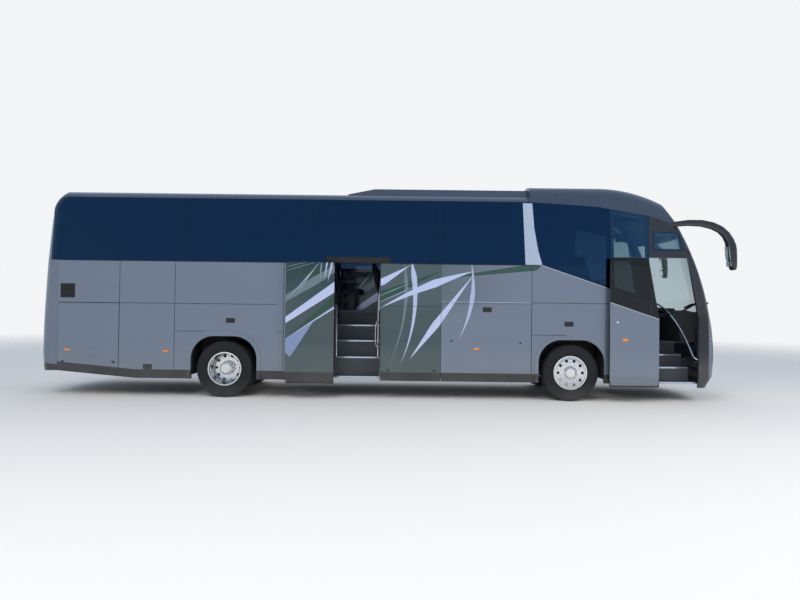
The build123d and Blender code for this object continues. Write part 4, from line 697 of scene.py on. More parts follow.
class Piece:
    """One mesh of the scene while it is made."""

    def __init__(self, name: str) -> None:
        """Start an empty mesh.

        Args:
            name: The finished object's name.
        """
        self.name = name
        self.mesh = bmesh.new()

    def block(self, low: Point, high: Point, edge: float = 0.0, segments: int = 2) -> list:
        """Add a block with rounded edges.

        Args:
            low: Its lowest corner.
            high: Its highest corner.
            edge: How far the rounding reaches.
            segments: How many steps it has.

        Returns:
            The block's vertices.
        """
        made = bmesh.ops.create_cube(self.mesh, size=1.0)["verts"]
        bmesh.ops.scale(self.mesh, vec=Vector(high) - Vector(low), verts=made)
        bmesh.ops.translate(self.mesh, vec=(Vector(high) + Vector(low)) / 2, verts=made)
        if not edge:
            return made
        edges = list({line for vert in made for line in vert.link_edges})
        rounded = bmesh.ops.bevel(self.mesh, geom=edges, offset=edge, offset_type="OFFSET",
                                  affect="EDGES", segments=segments, profile=0.5, material=-1,
                                  clamp_overlap=True)
        return rounded["verts"]

    def pad(self, low: Point, high: Point, crown: float, rounds: int = 4) -> list:
        """Add a stuffed form whose sides pull in between its corners.

        Args:
            low: Its lowest corner.
            high: Its highest corner.
            crown: How much the corners are drawn in, from 0 to 1.
            rounds: How often they are drawn in.

        Returns:
            The form's vertices.
        """
        form = bmesh.new()
        bmesh.ops.create_cube(form, size=1.0)
        bmesh.ops.subdivide_edges(form, edges=form.edges[:], cuts=3, use_grid_fill=True)
        for _ in range(rounds):
            bmesh.ops.smooth_vert(form, verts=form.verts[:], factor=crown, use_axis_x=True,
                                  use_axis_y=True, use_axis_z=True)
        made = self.take(form)
        reach = max(abs(vert.co.x) for vert in made) * 2
        size = (Vector(high) - Vector(low)) / reach
        bmesh.ops.scale(self.mesh, vec=size, verts=made)
        bmesh.ops.translate(self.mesh, vec=(Vector(high) + Vector(low)) / 2, verts=made)
        return made

    def take(self, form: bmesh.types.BMesh) -> list:
        """Copy another form into this mesh and free it.

        Args:
            form: The form that is copied.

        Returns:
            The copied vertices.
        """
        made = [self.mesh.verts.new(vert.co) for vert in form.verts]
        form.verts.index_update()
        for face in form.faces:
            self.mesh.faces.new([made[vert.index] for vert in face.verts])
        form.free()
        return made

    def turned(self, profile: tuple[tuple[float, float], ...], centre: Point, axis: Point,
               steps: int = 24) -> list:
        """Spin a profile about an axis.

        Args:
            profile: Distances along the axis and radii.
            centre: The axis's origin.
            axis: The axis's direction.
            steps: How many steps the turn has.

        Returns:
            The form's vertices.
        """
        line = Vector(axis).normalized()
        out = line.orthogonal().normalized()
        verts = [self.mesh.verts.new(Vector(centre) + line * along + out * radius)
                 for along, radius in profile]
        edges = [self.mesh.edges.new(pair) for pair in zip(verts, verts[1:])]
        if profile[0][1] > 0:
            edges.append(self.mesh.edges.new((verts[-1], verts[0])))
        before = set(self.mesh.verts) - set(verts)
        bmesh.ops.spin(self.mesh, geom=[*verts, *edges], cent=centre, axis=line, dvec=(0, 0, 0),
                       angle=math.tau, steps=steps, use_merge=True, use_duplicate=False)
        return [vert for vert in self.mesh.verts if vert not in before]

    def rod(self, start: Point, end: Point, radius: float, steps: int = 16) -> list:
        """Add a round bar.

        Args:
            start: Its first end.
            end: Its other end.
            radius: Its radius.
            steps: How many sides it has.

        Returns:
            The bar's vertices.
        """
        run = Vector(end) - Vector(start)
        length = run.length
        return self.turned(((0, 0), (0, radius), (length, radius), (length, 0)), start, run, steps)

    def rail(self, points: tuple[Point, ...], radius: float) -> None:
        """Add a bent tube along a smooth line.

        Args:
            points: The line's control points.
            radius: The tube's radius.
        """
        curve = bpy.data.curves.new(self.name + "_line", "CURVE")
        curve.dimensions = "3D"
        curve.bevel_depth = radius
        curve.bevel_resolution = 3
        curve.resolution_u = 5
        curve.use_fill_caps = True
        spline = curve.splines.new("NURBS")
        spline.points.add(len(points) - 1)
        for point, place in zip(spline.points, points):
            point.co = (*place, 1.0)
        spline.use_endpoint_u = True
        spline.order_u = 3
        holder = bpy.data.objects.new(curve.name, curve)
        bpy.context.scene.collection.objects.link(holder)
        bpy.context.view_layer.update()
        graph = bpy.context.evaluated_depsgraph_get()
        tube = bpy.data.meshes.new_from_object(holder.evaluated_get(graph), depsgraph=graph)
        self.mesh.from_mesh(tube)
        bpy.data.objects.remove(holder)
        bpy.data.meshes.remove(tube)

    def done(self, look: Look, body: str, slot: str, *replaced: str) -> bpy.types.Object:
        """Finish the mesh, dress it and let it ride.

        Args:
            look: Its finish.
            body: The body that it rides on.
            slot: Not used.
            *replaced: CAD nodes that it stands for.

        Returns:
            The finished object.
        """
        bmesh.ops.remove_doubles(self.mesh, verts=self.mesh.verts, dist=MERGE_DISTANCE)
        bmesh.ops.recalc_face_normals(self.mesh, faces=self.mesh.faces)
        data = bpy.data.meshes.new(self.name)
        self.mesh.to_mesh(data)
        self.mesh.free()
        data.shade_smooth()
        data.set_sharp_from_angle(angle=math.radians(SHARP_DEGREES))
        data.materials.append(look.material)
        piece = bpy.data.objects.new(self.name, data)
        bpy.context.scene.collection.objects.link(piece)
        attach(piece, body)
        if replaced:
            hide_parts(*replaced)
        LOG.info("%s: %d faces, rides on %s", self.name, len(data.polygons), body)
        return piece


@dataclass
class Tyres:
    """Tyres with grooved tread; they stand for the plain CAD tyres."""

    radius: float = 0.520
    crown_drop: float = 0.017
    tread_half: float = 0.127
    groove_places: tuple[float, ...] = (-0.082, -0.030, 0.030, 0.082)
    groove_half: float = 0.0055
    groove_depth: float = 0.013
    groove_slope: float = 0.0015
    steps: int = 132
    notch: float = 0.006
    shoulder_from: float = 0.084
    shoulder_radius: float = 0.485
    shoulder_every: int = 3
    middle_to: float = 0.078
    middle_radius: float = 0.512
    middle_every: int = 6
    twin_spacing: float = 0.330
    # Distances from the middle and radii, from the bead to the shoulder
    side: tuple[Pair, ...] = (
        (0.108, 0.2955), (0.109, 0.314), (0.128, 0.338), (0.1405, 0.375), (0.1465, 0.405),
        (0.1465, 0.428), (0.1440, 0.436), (0.1450, 0.444), (0.1400, 0.468), (0.1310, 0.496))

    def crown(self, out: float) -> float:
        """The tread's radius at a distance from the tyre's middle."""
        return self.radius - self.crown_drop * (out / self.tread_half) ** 2

    def profile(self) -> tuple[Pair, ...]:
        """Draw the tyre's section.

        Returns:
            Distances from the middle and radii.
        """
        tread = [(-self.tread_half, self.crown(self.tread_half))]
        for place in self.groove_places:
            low, high = place - self.groove_half, place + self.groove_half
            tread += [(low, self.crown(low)),
                      (low + self.groove_slope, self.crown(low) - self.groove_depth),
                      (high - self.groove_slope, self.crown(high) - self.groove_depth),
                      (high, self.crown(high))]
        tread.append((self.tread_half, self.crown(self.tread_half)))
        return (*((-out, radius) for out, radius in self.side), *tread, *reversed(self.side))

    def build(self, node: str, body: str, shifts: tuple[float, ...]) -> None:
        """Make one body's tyre or twin tyres.

        Args:
            node: The CAD node that they stand for.
            body: The body that they ride on.
            shifts: Distances of the tyres from the node's middle.
        """
        low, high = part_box(node)
        piece = Piece(f"{node}_tread")
        for shift in shifts:
            centre = ((low.x + high.x) / 2, (low.y + high.y) / 2 + shift, (low.z + high.z) / 2)
            made = piece.turned(self.profile(), centre, (0, 1, 0), self.steps)
            for vert in made:
                out = abs(vert.co.y - centre[1])
                arm = Vector((vert.co.x - centre[0], 0, vert.co.z - centre[2]))
                turn = round(math.atan2(arm.z, arm.x) / math.tau * self.steps)
                shoulder = out > self.shoulder_from and arm.length > self.shoulder_radius
                middle = out < self.middle_to and arm.length > self.middle_radius
                if shoulder and turn % self.shoulder_every == 0:
                    vert.co -= arm.normalized() * self.notch
                elif middle and turn % self.middle_every == 0:
                    vert.co -= arm.normalized() * self.notch * 0.5
        piece.done(Look.TYRE, body, "tyre", node)

    def build_all(self) -> None:
        """Make the tyres of every wheel."""
        for _, side in SIDES:
            self.build(f"front_tyre_{side}", f"front_wheel_{side}", (0.0,))
            self.build(f"rear_tyres_{side}", f"rear_wheels_{side}",
                       (self.twin_spacing / 2, -self.twin_spacing / 2))


@dataclass
class WheelFittings:
    """Nuts, studs, hub bolts and hub plates on the rims."""

    nuts: int = 10
    nut_ring: float = 0.158
    nut_radius: float = 0.0165
    nut_height: float = 0.020
    stud_radius: float = 0.010
    stud_height: float = 0.029
    stud_taper: float = 0.9
    nut_sides: int = 6
    nut_chamfer: float = 0.003
    nut_taper: float = 0.85
    flange_share: float = 1.3
    flange_slope: float = 0.001
    overlap: float = 0.002
    hub_bolts: int = 8
    hub_bolt_radius: float = 0.007
    hub_bolt_height: float = 0.005
    sink: float = 0.004
    # Heights over the hub's face and shares of the ring of hub bolts
    hub_plate: tuple[Pair, ...] = ((-0.002, 0.0), (-0.002, 0.62), (0.003, 0.58), (0.004, 0.0))
    # From the coach's side to the middle of the outer tyre
    tyre_middle: float = 0.177
    # Height of the nuts' seat, height of the hub's face and radius of the hub's ring of bolts
    front: Point = (0.100, 0.140, 0.062)
    rear: Point = (-0.146, 0.048, 0.068)

    def fittings(self, side: int, rim: str, body: str, seat: float, hub_face: float,
                 bolt_ring: float) -> None:
        """Fit one wheel.

        Args:
            side: Which side of the coach it is on.
            rim: The rim's node.
            body: The wheel's body.
            seat: Height of the nuts' seat over the outer tyre's middle.
            hub_face: Height of the hub's face.
            bolt_ring: Radius of the ring of hub bolts.
        """
        low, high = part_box(rim)
        middle = Vector(((low.x + high.x) / 2, side * (SIDE_Y - self.tyre_middle),
                         (low.z + high.z) / 2))
        out = Vector((0, side, 0))
        piece = Piece(f"nuts_{rim}")
        for count in range(self.nuts):
            angle = math.tau * (count + 0.5) / self.nuts
            spoke = Vector((math.cos(angle), 0, math.sin(angle)))
            seat_point = middle + spoke * self.nut_ring + out * seat
            flange, top = self.nut_radius * self.flange_share, self.nut_height
            piece.turned(((0, 0), (0, flange), (self.nut_chamfer, flange),
                          (self.nut_chamfer + self.flange_slope, self.nut_radius),
                          (top - self.nut_chamfer, self.nut_radius),
                          (top, self.nut_radius * self.nut_taper), (top, 0)),
                         seat_point, out, steps=self.nut_sides)
            foot = top - self.overlap
            piece.turned(((foot, 0), (foot, self.stud_radius),
                          (self.stud_height, self.stud_radius * self.stud_taper),
                          (self.stud_height, 0)), seat_point, out, steps=10)
        for count in range(self.hub_bolts):
            angle = math.tau * count / self.hub_bolts
            spoke = Vector((math.cos(angle), 0, math.sin(angle)))
            start = middle + spoke * bolt_ring + out * (hub_face - self.sink)
            piece.rod(start, start + out * (self.sink + self.hub_bolt_height),
                      self.hub_bolt_radius, steps=6)
        piece.turned(tuple((hub_face + rise, bolt_ring * share) for rise, share in self.hub_plate),
                     middle, out, steps=40)
        piece.done(Look.CHROME, body, "rim")

    def build_all(self) -> None:
        """Fit every wheel."""
        for side, name in SIDES:
            self.fittings(side, f"front_rim_{name}", f"front_wheel_{name}", *self.front)
            self.fittings(side, f"rear_rims_{name}", f"rear_wheels_{name}", *self.rear)


@dataclass(frozen=True)
class Plate:
    """A small raised part on a side: its middle, size, depth and finish."""

    name: str
    along: float
    height: float
    length: float
    rise: float
    depth: float
    look: Look
    body: str
    slot: str = "plastic"
    edge: float = 0.0027


@dataclass
class SideDetails:
    """Handles, latches, markers and strips on both sides of the body."""

    sill: float = 0.535
    sink: float = 0.004
    ribs: int = 5
    rib_half: float = 0.004
    rib_proud: float = 0.004
    rib_margin: float = 0.012
    rib_edge: float = 0.0015
    cap_place: Pair = (-5.310, 0.803)
    cap: tuple[Pair, ...] = (
        (-0.003, 0), (-0.003, 0.110), (0.001, 0.110), (0.004, 0.106), (0.004, 0.098),
        (0.002, 0.095), (0.002, 0.030), (0.006, 0.026), (0.006, 0))
    keyhole_places: tuple[Pair, ...] = ((1.240, 1.080), (2.493, 1.060))
    keyhole: tuple[Pair, ...] = (
        (-0.002, 0), (-0.002, 0.019), (0.003, 0.019), (0.005, 0.016), (0.005, 0.007),
        (0.002, 0.006), (0.002, 0))
    louvre_x: Pair = (-5.882, -5.627)
    louvre_z: Pair = (1.792, 2.048)
    louvre_frame: float = 0.016
    louvre_proud: float = 0.012
    backing_inset: float = 0.010
    backing_proud: float = 0.001
    slats: int = 9
    slat_first: float = 0.028
    slat_pitch: float = 0.025
    slat_turn: float = 8.0
    slat_proud: float = 0.010
    slat_inset: float = 0.014
    slat_reach: Pair = (-0.004, 0.009)
    belt_x: tuple[Pair, ...] = ((-5.90, -1.10), (0.14, 2.56))
    belt_z: Pair = (2.468, 2.482)
    hood_x: Pair = (-1.075, 0.115)
    hood_z: Pair = (2.482, 2.590)
    belt_depth: Pair = (-0.006, 0.004)
    hood_depth: Pair = (-0.006, 0.020)
    rain_bar: tuple[Point, Point] = ((4.880, -1.262, 2.640), (5.500, -1.222, 2.665))
    # X and Z of the bright line's control points, which falls forward from the blade's foot
    line: tuple[Pair, ...] = ((2.880, 2.474), (4.128, 2.056), (4.832, 1.824))
    line_fall: float = 0.335
    line_end_left: float = 5.560
    line_radius: float = 0.006
    waist_x: Pair = (1.055, 2.690)
    waist_z: float = 1.790
    waist_radius: float = 0.005
    line_proud: float = 0.002

    def plates(self) -> tuple[Plate, ...]:
        """List the small parts of one side.

        Returns:
            What to make, with bodies named without their side.
        """
        marker = dict(length=0.100, rise=0.038, depth=0.012, look=Look.AMBER, slot="lamp")
        grip = dict(length=0.164, rise=0.088, depth=0.006, look=Look.BLACK_PLASTIC)
        latch = dict(length=0.052, rise=0.040, depth=0.008, look=Look.BLACK_PLASTIC)
        return (
            Plate("grip_rear", -2.785, 1.405, body="body", **grip),
            Plate("grip_hold", 1.885, 1.655, body="flap_hold_front", **grip),
            Plate("grip_front", 3.375, 1.410, body="body", **grip),
            Plate("latch_a", -5.833, 0.625, body="flap_engine", **latch),
            Plate("latch_b", -4.908, 0.625, body="flap_engine", **latch),
            Plate("latch_c", 0.086, self.sill, body="flap_hold_rear", **latch),
            Plate("latch_d", 0.929, self.sill, body="flap_hold_rear", **latch),
            Plate("marker_rear", -5.746, 0.843, body="flap_engine", **marker),
            Plate("marker_middle", -3.956, 0.836, body="body", **marker),
            Plate("marker_hold", 1.694, 0.940, body="flap_hold_front", **marker),
            Plate("charge_cover", -4.283, 0.550, 0.164, 0.091, 0.006, Look.BLACK_PLASTIC, "body"),
        )

    def plate(self, plate: Plate, side: int, name: str) -> None:
        """Make one raised part.

        Args:
            plate: What to make.
            side: Which side it is on.
            name: The side's name.
        """
        piece = Piece(f"{plate.name}_{name}")
        outer = SIDE_Y + plate.depth
        x0, x1 = plate.along - plate.length / 2, plate.along + plate.length / 2
        z0, z1 = plate.height - plate.rise / 2, plate.height + plate.rise / 2
        y0, y1 = span(side, SIDE_Y - self.sink, outer)
        piece.block((x0, y0, z0), (x1, y1, z1), plate.edge)
        if plate.name.startswith("grip"):
            y0, y1 = span(side, outer, outer + self.rib_proud)
            for count in range(self.ribs):
                at = x0 + plate.length * (count + 1) / (self.ribs + 1)
                piece.block((at - self.rib_half, y0, z0 + self.rib_margin),
                            (at + self.rib_half, y1, z1 - self.rib_margin), self.rib_edge)
        body = plate.body if plate.body == "body" else f"{plate.body}_{name}"
        piece.done(plate.look, body, plate.slot)

    def caps_and_locks(self, side: int, name: str) -> None:
        """Make the round filler cap and the keyholes.

        Args:
            side: Which side they are on.
            name: The side's name.
        """
        cap = Piece(f"filler_cap_{name}")
        along, height = self.cap_place
        cap.turned(self.cap, (along, side * SIDE_Y, height), (0, side, 0), steps=48)
        cap.done(Look.PAINT, f"flap_engine_{name}", "paint")
        locks = Piece(f"keyholes_{name}")
        for along, height in self.keyhole_places:
            locks.turned(self.keyhole, (along, side * SIDE_Y, height), (0, side, 0), steps=24)
        locks.done(Look.BLACK_PLASTIC, f"flap_hold_front_{name}", "plastic")

    def louvre(self, side: int, name: str) -> None:
        """Make the engine's air louvre with upright slats.

        Args:
            side: Which side it is on.
            name: The side's name.
        """
        piece = Piece(f"air_louvre_{name}")
        (x0, x1), (z0, z1) = self.louvre_x, self.louvre_z
        bar = self.louvre_frame
        y0, y1 = span(side, SIDE_Y - self.sink, SIDE_Y + self.louvre_proud)
        for low, high in (((x0, z0), (x1, z0 + bar)), ((x0, z1 - bar), (x1, z1)),
                          ((x0, z0), (x0 + bar, z1)), ((x1 - bar, z0), (x1, z1))):
            piece.block((low[0], y0, low[1]), (high[0], y1, high[1]), edge=0.003)
        inset = self.backing_inset
        y0, y1 = span(side, SIDE_Y, SIDE_Y + self.backing_proud)
        piece.block((x0 + inset, y0, z0 + inset), (x1 - inset, y1, z1 - inset))
        y0, y1 = span(side, SIDE_Y, SIDE_Y + self.slat_proud)
        for count in range(self.slats):
            at = x0 + self.slat_first + count * self.slat_pitch
            slat = piece.block((at + self.slat_reach[0], y0, z0 + self.slat_inset),
                               (at + self.slat_reach[1], y1, z1 - self.slat_inset), edge=0.002)
            bmesh.ops.rotate(piece.mesh, verts=slat, cent=(at, side * SIDE_Y, (z0 + z1) / 2),
                             matrix=Matrix.Rotation(math.radians(self.slat_turn * side), 3, "Z"))
        piece.done(Look.BLACK_PLASTIC, "body", "plastic")

    def strips(self, side: int, name: str) -> None:
        """Make the bright belt line and the rubber gutter.

        Args:
            side: Which side they are on.
            name: The side's name.
        """
        bright = Piece(f"bright_line_{name}")
        out = side * (SIDE_Y + self.line_proud)
        *upper, (foot, height) = self.line
        ahead = foot if side == RIGHT else self.line_end_left
        end = (ahead, height - (ahead - foot) * self.line_fall)
        bright.rail(tuple((along, out, rise) for along, rise in (*upper, end)), self.line_radius)
        bright.rail(tuple((along, out, self.waist_z) for along in self.waist_x),
                    self.waist_radius)
        bright.done(Look.CHROME, "body", "rim")
        rubber = Piece(f"belt_rubber_{name}")
        y0, y1 = span(side, *(SIDE_Y + depth for depth in self.belt_depth))
        for x0, x1 in self.belt_x:
            rubber.block((x0, y0, self.belt_z[0]), (x1, y1, self.belt_z[1]), edge=0.003)
        if side == RIGHT:
            y0, y1 = span(side, *(SIDE_Y + depth for depth in self.hood_depth))
            rubber.block((self.hood_x[0], y0, self.hood_z[0]), (self.hood_x[1], y1, self.hood_z[1]),
                         edge=0.016, segments=3)
            rubber.block(*self.rain_bar, edge=0.006)
        rubber.done(Look.SEAL, "body", "trim")

    def build(self) -> None:
        """Make everything on both sides."""
        for side, name in SIDES:
            for plate in self.plates():
                self.plate(plate, side, name)
            self.caps_and_locks(side, name)
            self.louvre(side, name)
            self.strips(side, name)


@dataclass
class Doors:
    """Seals, the marker, the inner grips and the bright line of the open doors."""

    seal: float = 0.0035
    seal_depth: Pair = (0.004, 0.030)
    sill_depth: float = 0.040
    sill_heights: Pair = (-0.006, 0.004)
    grip_inset: float = 0.10
    grip_depth: float = 0.045
    grip_reach: float = 0.06
    grip_heights: tuple[float, ...] = (1.00, 1.02, 1.46, 1.48)
    grip_radius: float = 0.012
    seal_foot: float = 0.01
    marker_x: Pair = (4.302, 4.402)
    marker_z: Pair = (1.118, 1.166)
    marker_depth: Pair = (-0.010, 0.003)
    middle_top: float = 2.470
    front_top: float = 1.550
    line_heights: Pair = (1.812, 1.522)
    line_radius: float = 0.006
    line_inset: float = 0.004
    line_proud: float = 0.001
    lock_place: Pair = (4.215, 1.455)
    lock: tuple[Pair, ...] = ((-0.002, 0), (-0.002, 0.022), (0.004, 0.020), (0.004, 0))

    def build_one(self, node: str, top: float, grip_behind: bool) -> None:
        """Dress one door.

        Args:
            node: The door's node and body.
            top: Height of its seals.
            grip_behind: Whether its grip is at the rear edge.
        """
        low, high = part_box(node)
        front, back = (low.y + depth for depth in self.seal_depth)
        seals = Piece(f"{node}_seals")
        for x0, x1 in ((low.x - self.seal, low.x), (high.x, high.x + self.seal)):
            seals.block((x0, front, low.z + self.seal_foot), (x1, back, top), edge=0.003)
        seals.block((low.x, front, low.z + self.sill_heights[0]),
                    (high.x, low.y + self.sill_depth, low.z + self.sill_heights[1]), edge=0.002)
        seals.done(Look.SEAL, node, "trim")
        grip = Piece(f"{node}_inner_grip")
        inside = low.y + self.grip_depth
        along = low.x + self.grip_inset if grip_behind else high.x - self.grip_inset
        reaches = (0.0, self.grip_reach, self.grip_reach, 0.0)
        grip.rail(tuple((along, inside + reach, height)
                        for reach, height in zip(reaches, self.grip_heights)), self.grip_radius)
        grip.done(Look.CHROME, node, "rim")

    def build(self) -> None:
        """Dress both doors."""
        self.build_one("middle_door", self.middle_top, True)
        self.build_one("front_door", self.front_top, False)
        low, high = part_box("front_door")
        marker = Piece("front_door_marker")
        marker.block((self.marker_x[0], low.y + self.marker_depth[0], self.marker_z[0]),
                     (self.marker_x[1], low.y + self.marker_depth[1], self.marker_z[1]),
                     edge=0.004)
        marker.done(Look.AMBER, "front_door", "lamp")
        line = Piece("front_door_line")
        out = low.y - self.line_proud
        line.rail(((low.x + self.line_inset, out, self.line_heights[0]),
                   (high.x - self.line_inset, out, self.line_heights[1])), self.line_radius)
        line.done(Look.CHROME, "front_door", "rim")
        lock = Piece("front_door_lock")
        lock.turned(self.lock, (self.lock_place[0], low.y, self.lock_place[1]), (0, -1, 0),
                    steps=24)
        lock.done(Look.CHROME, "front_door", "rim")


@dataclass
class Handrails:
    """Bright rails beside both entrances, and the edges of the steps."""

    radius: float = 0.016
    grip_share: float = 0.75
    cab_rail: tuple[Point, ...] = (
        (5.25, -0.32, 1.08), (5.25, -0.32, 1.70), (5.27, -0.36, 1.86), (5.42, -0.62, 1.72),
        (5.58, -0.92, 1.33), (5.68, -1.10, 0.95), (5.70, -1.17, 0.80), (5.765, -1.238, 0.78))
    stairwell_x: Pair = (-0.895, -0.112)
    # Distance from the middle plane and height of the rails beside the middle stairs
    stair_rail: tuple[Pair, ...] = (
        (-0.90, 0.745), (-0.90, 1.60), (-0.84, 1.95), (-0.44, 2.42), (-0.28, 2.36), (-0.28, 1.62))
    post_grip: tuple[Point, ...] = (
        (-0.112, -1.190, 0.95), (-0.150, -1.170, 0.97), (-0.150, -1.170, 1.40),
        (-0.112, -1.190, 1.42))
    # From and to along the coach, and the treads' heights
    flights: tuple[tuple[float, float, tuple[float, ...]], ...] = (
        (-0.930, -0.076, (0.410, 0.745, 1.040, 1.330)), (4.853, 5.720, (0.370, 0.620, 0.840)))
    tread_depth: float = 0.285
    first_edge: float = -1.195
    nosing: Pair = (-0.004, 0.030)
    nosing_heights: Pair = (-0.026, 0.003)
    nosing_inset: float = 0.004

    def build(self) -> None:
        """Make the rails and the step edges."""
        rails = Piece("entrance_rails")
        rails.rail(self.cab_rail, self.radius)
        for along in self.stairwell_x:
            rails.rail(tuple((along, across, height) for across, height in self.stair_rail),
                       self.radius)
        rails.rail(self.post_grip, self.radius * self.grip_share)
        rails.done(Look.CHROME, "body", "rim")
        edges = Piece("step_edges")
        for x0, x1, treads in self.flights:
            for count, height in enumerate(treads):
                front = self.first_edge + count * self.tread_depth
                edges.block((x0 + self.nosing_inset, front + self.nosing[0],
                             height + self.nosing_heights[0]),
                            (x1 - self.nosing_inset, front + self.nosing[1],
                             height + self.nosing_heights[1]), edge=0.0015)
        edges.done(Look.PEARL, "body", "blade")


@dataclass
class Seats:
    """Reclined coach seats with stuffed pads, headrests, arms and shells."""

    first_row: float = -5.5
    pitch: float = 0.79
    last_row: float = 4.02
    floor: float = 1.620
    wall: float = 1.186
    width: float = 0.430
    recline: float = 13.0
    arm_tilt: float = 3.0
    doorway: Pair = (-1.23, 0.344)
    places: Pair = (0.225, 0.670)
    driver: Point = (4.93, 0.64, 1.08)
    pivot: Pair = (-0.170, 0.420)
    # X and Z of each form's corners, from the row and the floor
    cushion: tuple[Pair, Pair] = ((-0.175, 0.330), (0.243, 0.455))
    back: tuple[Pair, Pair] = ((-0.215, 0.410), (-0.120, 0.880))
    head: tuple[Pair, Pair] = ((-0.212, 0.865), (-0.128, 1.080))
    shell: tuple[Pair, Pair] = ((-0.232, 0.400), (-0.200, 0.905))
    arm: tuple[Pair, Pair] = ((-0.170, 0.570), (0.110, 0.602))
    leg: tuple[Pair, Pair] = ((-0.06, 0.0), (0.10, 0.345))
    crown: float = 0.34
    back_crown: float = 0.30
    # Shares of the seat's width
    head_share: float = 0.66
    shell_share: float = 0.96
    # Inwards from the seat's edge
    arm_reach: Pair = (-0.002, 0.036)
    leg_half: float = 0.06

    def seat(self, cloth: Piece, hard: Piece, row: float, side_y: float, floor: float) -> None:
        """Make one seat.

        Args:
            cloth: The piece that takes the pads.
            hard: The piece that takes the shell, arms and leg.
            row: X of the row.
            side_y: Y of the seat's middle.
            floor: Height of the floor.
        """
        def place(form: tuple[Pair, Pair], y0: float, y1: float) -> tuple[Point, Point]:
            """Put a form's corners at the row, between two distances from the seat's middle."""
            (x0, z0), (x1, z1) = form
            return (row + x0, side_y + y0, floor + z0), (row + x1, side_y + y1, floor + z1)

        half = self.width / 2
        narrow, broad = half * self.head_share, half * self.shell_share
        cloth.pad(*place(self.cushion, -half, half), self.crown)
        back = cloth.pad(*place(self.back, -half, half), self.back_crown)
        head = cloth.pad(*place(self.head, -narrow, narrow), self.crown)
        shell = hard.block(*place(self.shell, -broad, broad), edge=0.012)
        arm = hard.block(*place(self.arm, *(reach - half for reach in self.arm_reach)), edge=0.010)
        turn = Matrix.Rotation(math.radians(-self.recline), 3, "Y")
        pivot = (row + self.pivot[0], side_y, floor + self.pivot[1])
        bmesh.ops.rotate(cloth.mesh, verts=[*back, *head], cent=pivot, matrix=turn)
        bmesh.ops.rotate(hard.mesh, verts=shell, cent=pivot, matrix=turn)
        bmesh.ops.rotate(hard.mesh, verts=arm, cent=pivot,
                         matrix=Matrix.Rotation(math.radians(-self.arm_tilt), 3, "Y"))
        hard.block(*place(self.leg, -self.leg_half, self.leg_half), edge=0.012)

    def build(self) -> None:
        """Make every seat."""
        cloth, hard = Piece("seat_pads"), Piece("seat_shells")
        row = self.first_row
        while row < self.last_row:
            for side, _ in SIDES:
                if side == LEFT or not self.doorway[0] < row < self.doorway[1]:
                    for place in self.places:
                        self.seat(cloth, hard, row, side * (self.wall - place), self.floor)
            row += self.pitch
        pads = cloth.done(Look.CLOTH, "body", "cloth", "passenger_seats")
        hard.done(Look.TRIM_GREY, "body", "plastic")
        cloth, hard = Piece("driver_seat_pads"), Piece("driver_seat_shell")
        self.seat(cloth, hard, *self.driver)
        pads = cloth.done(Look.CLOTH, "body", "cloth", "driver_seat")
        hard.done(Look.TRIM_GREY, "body", "plastic")


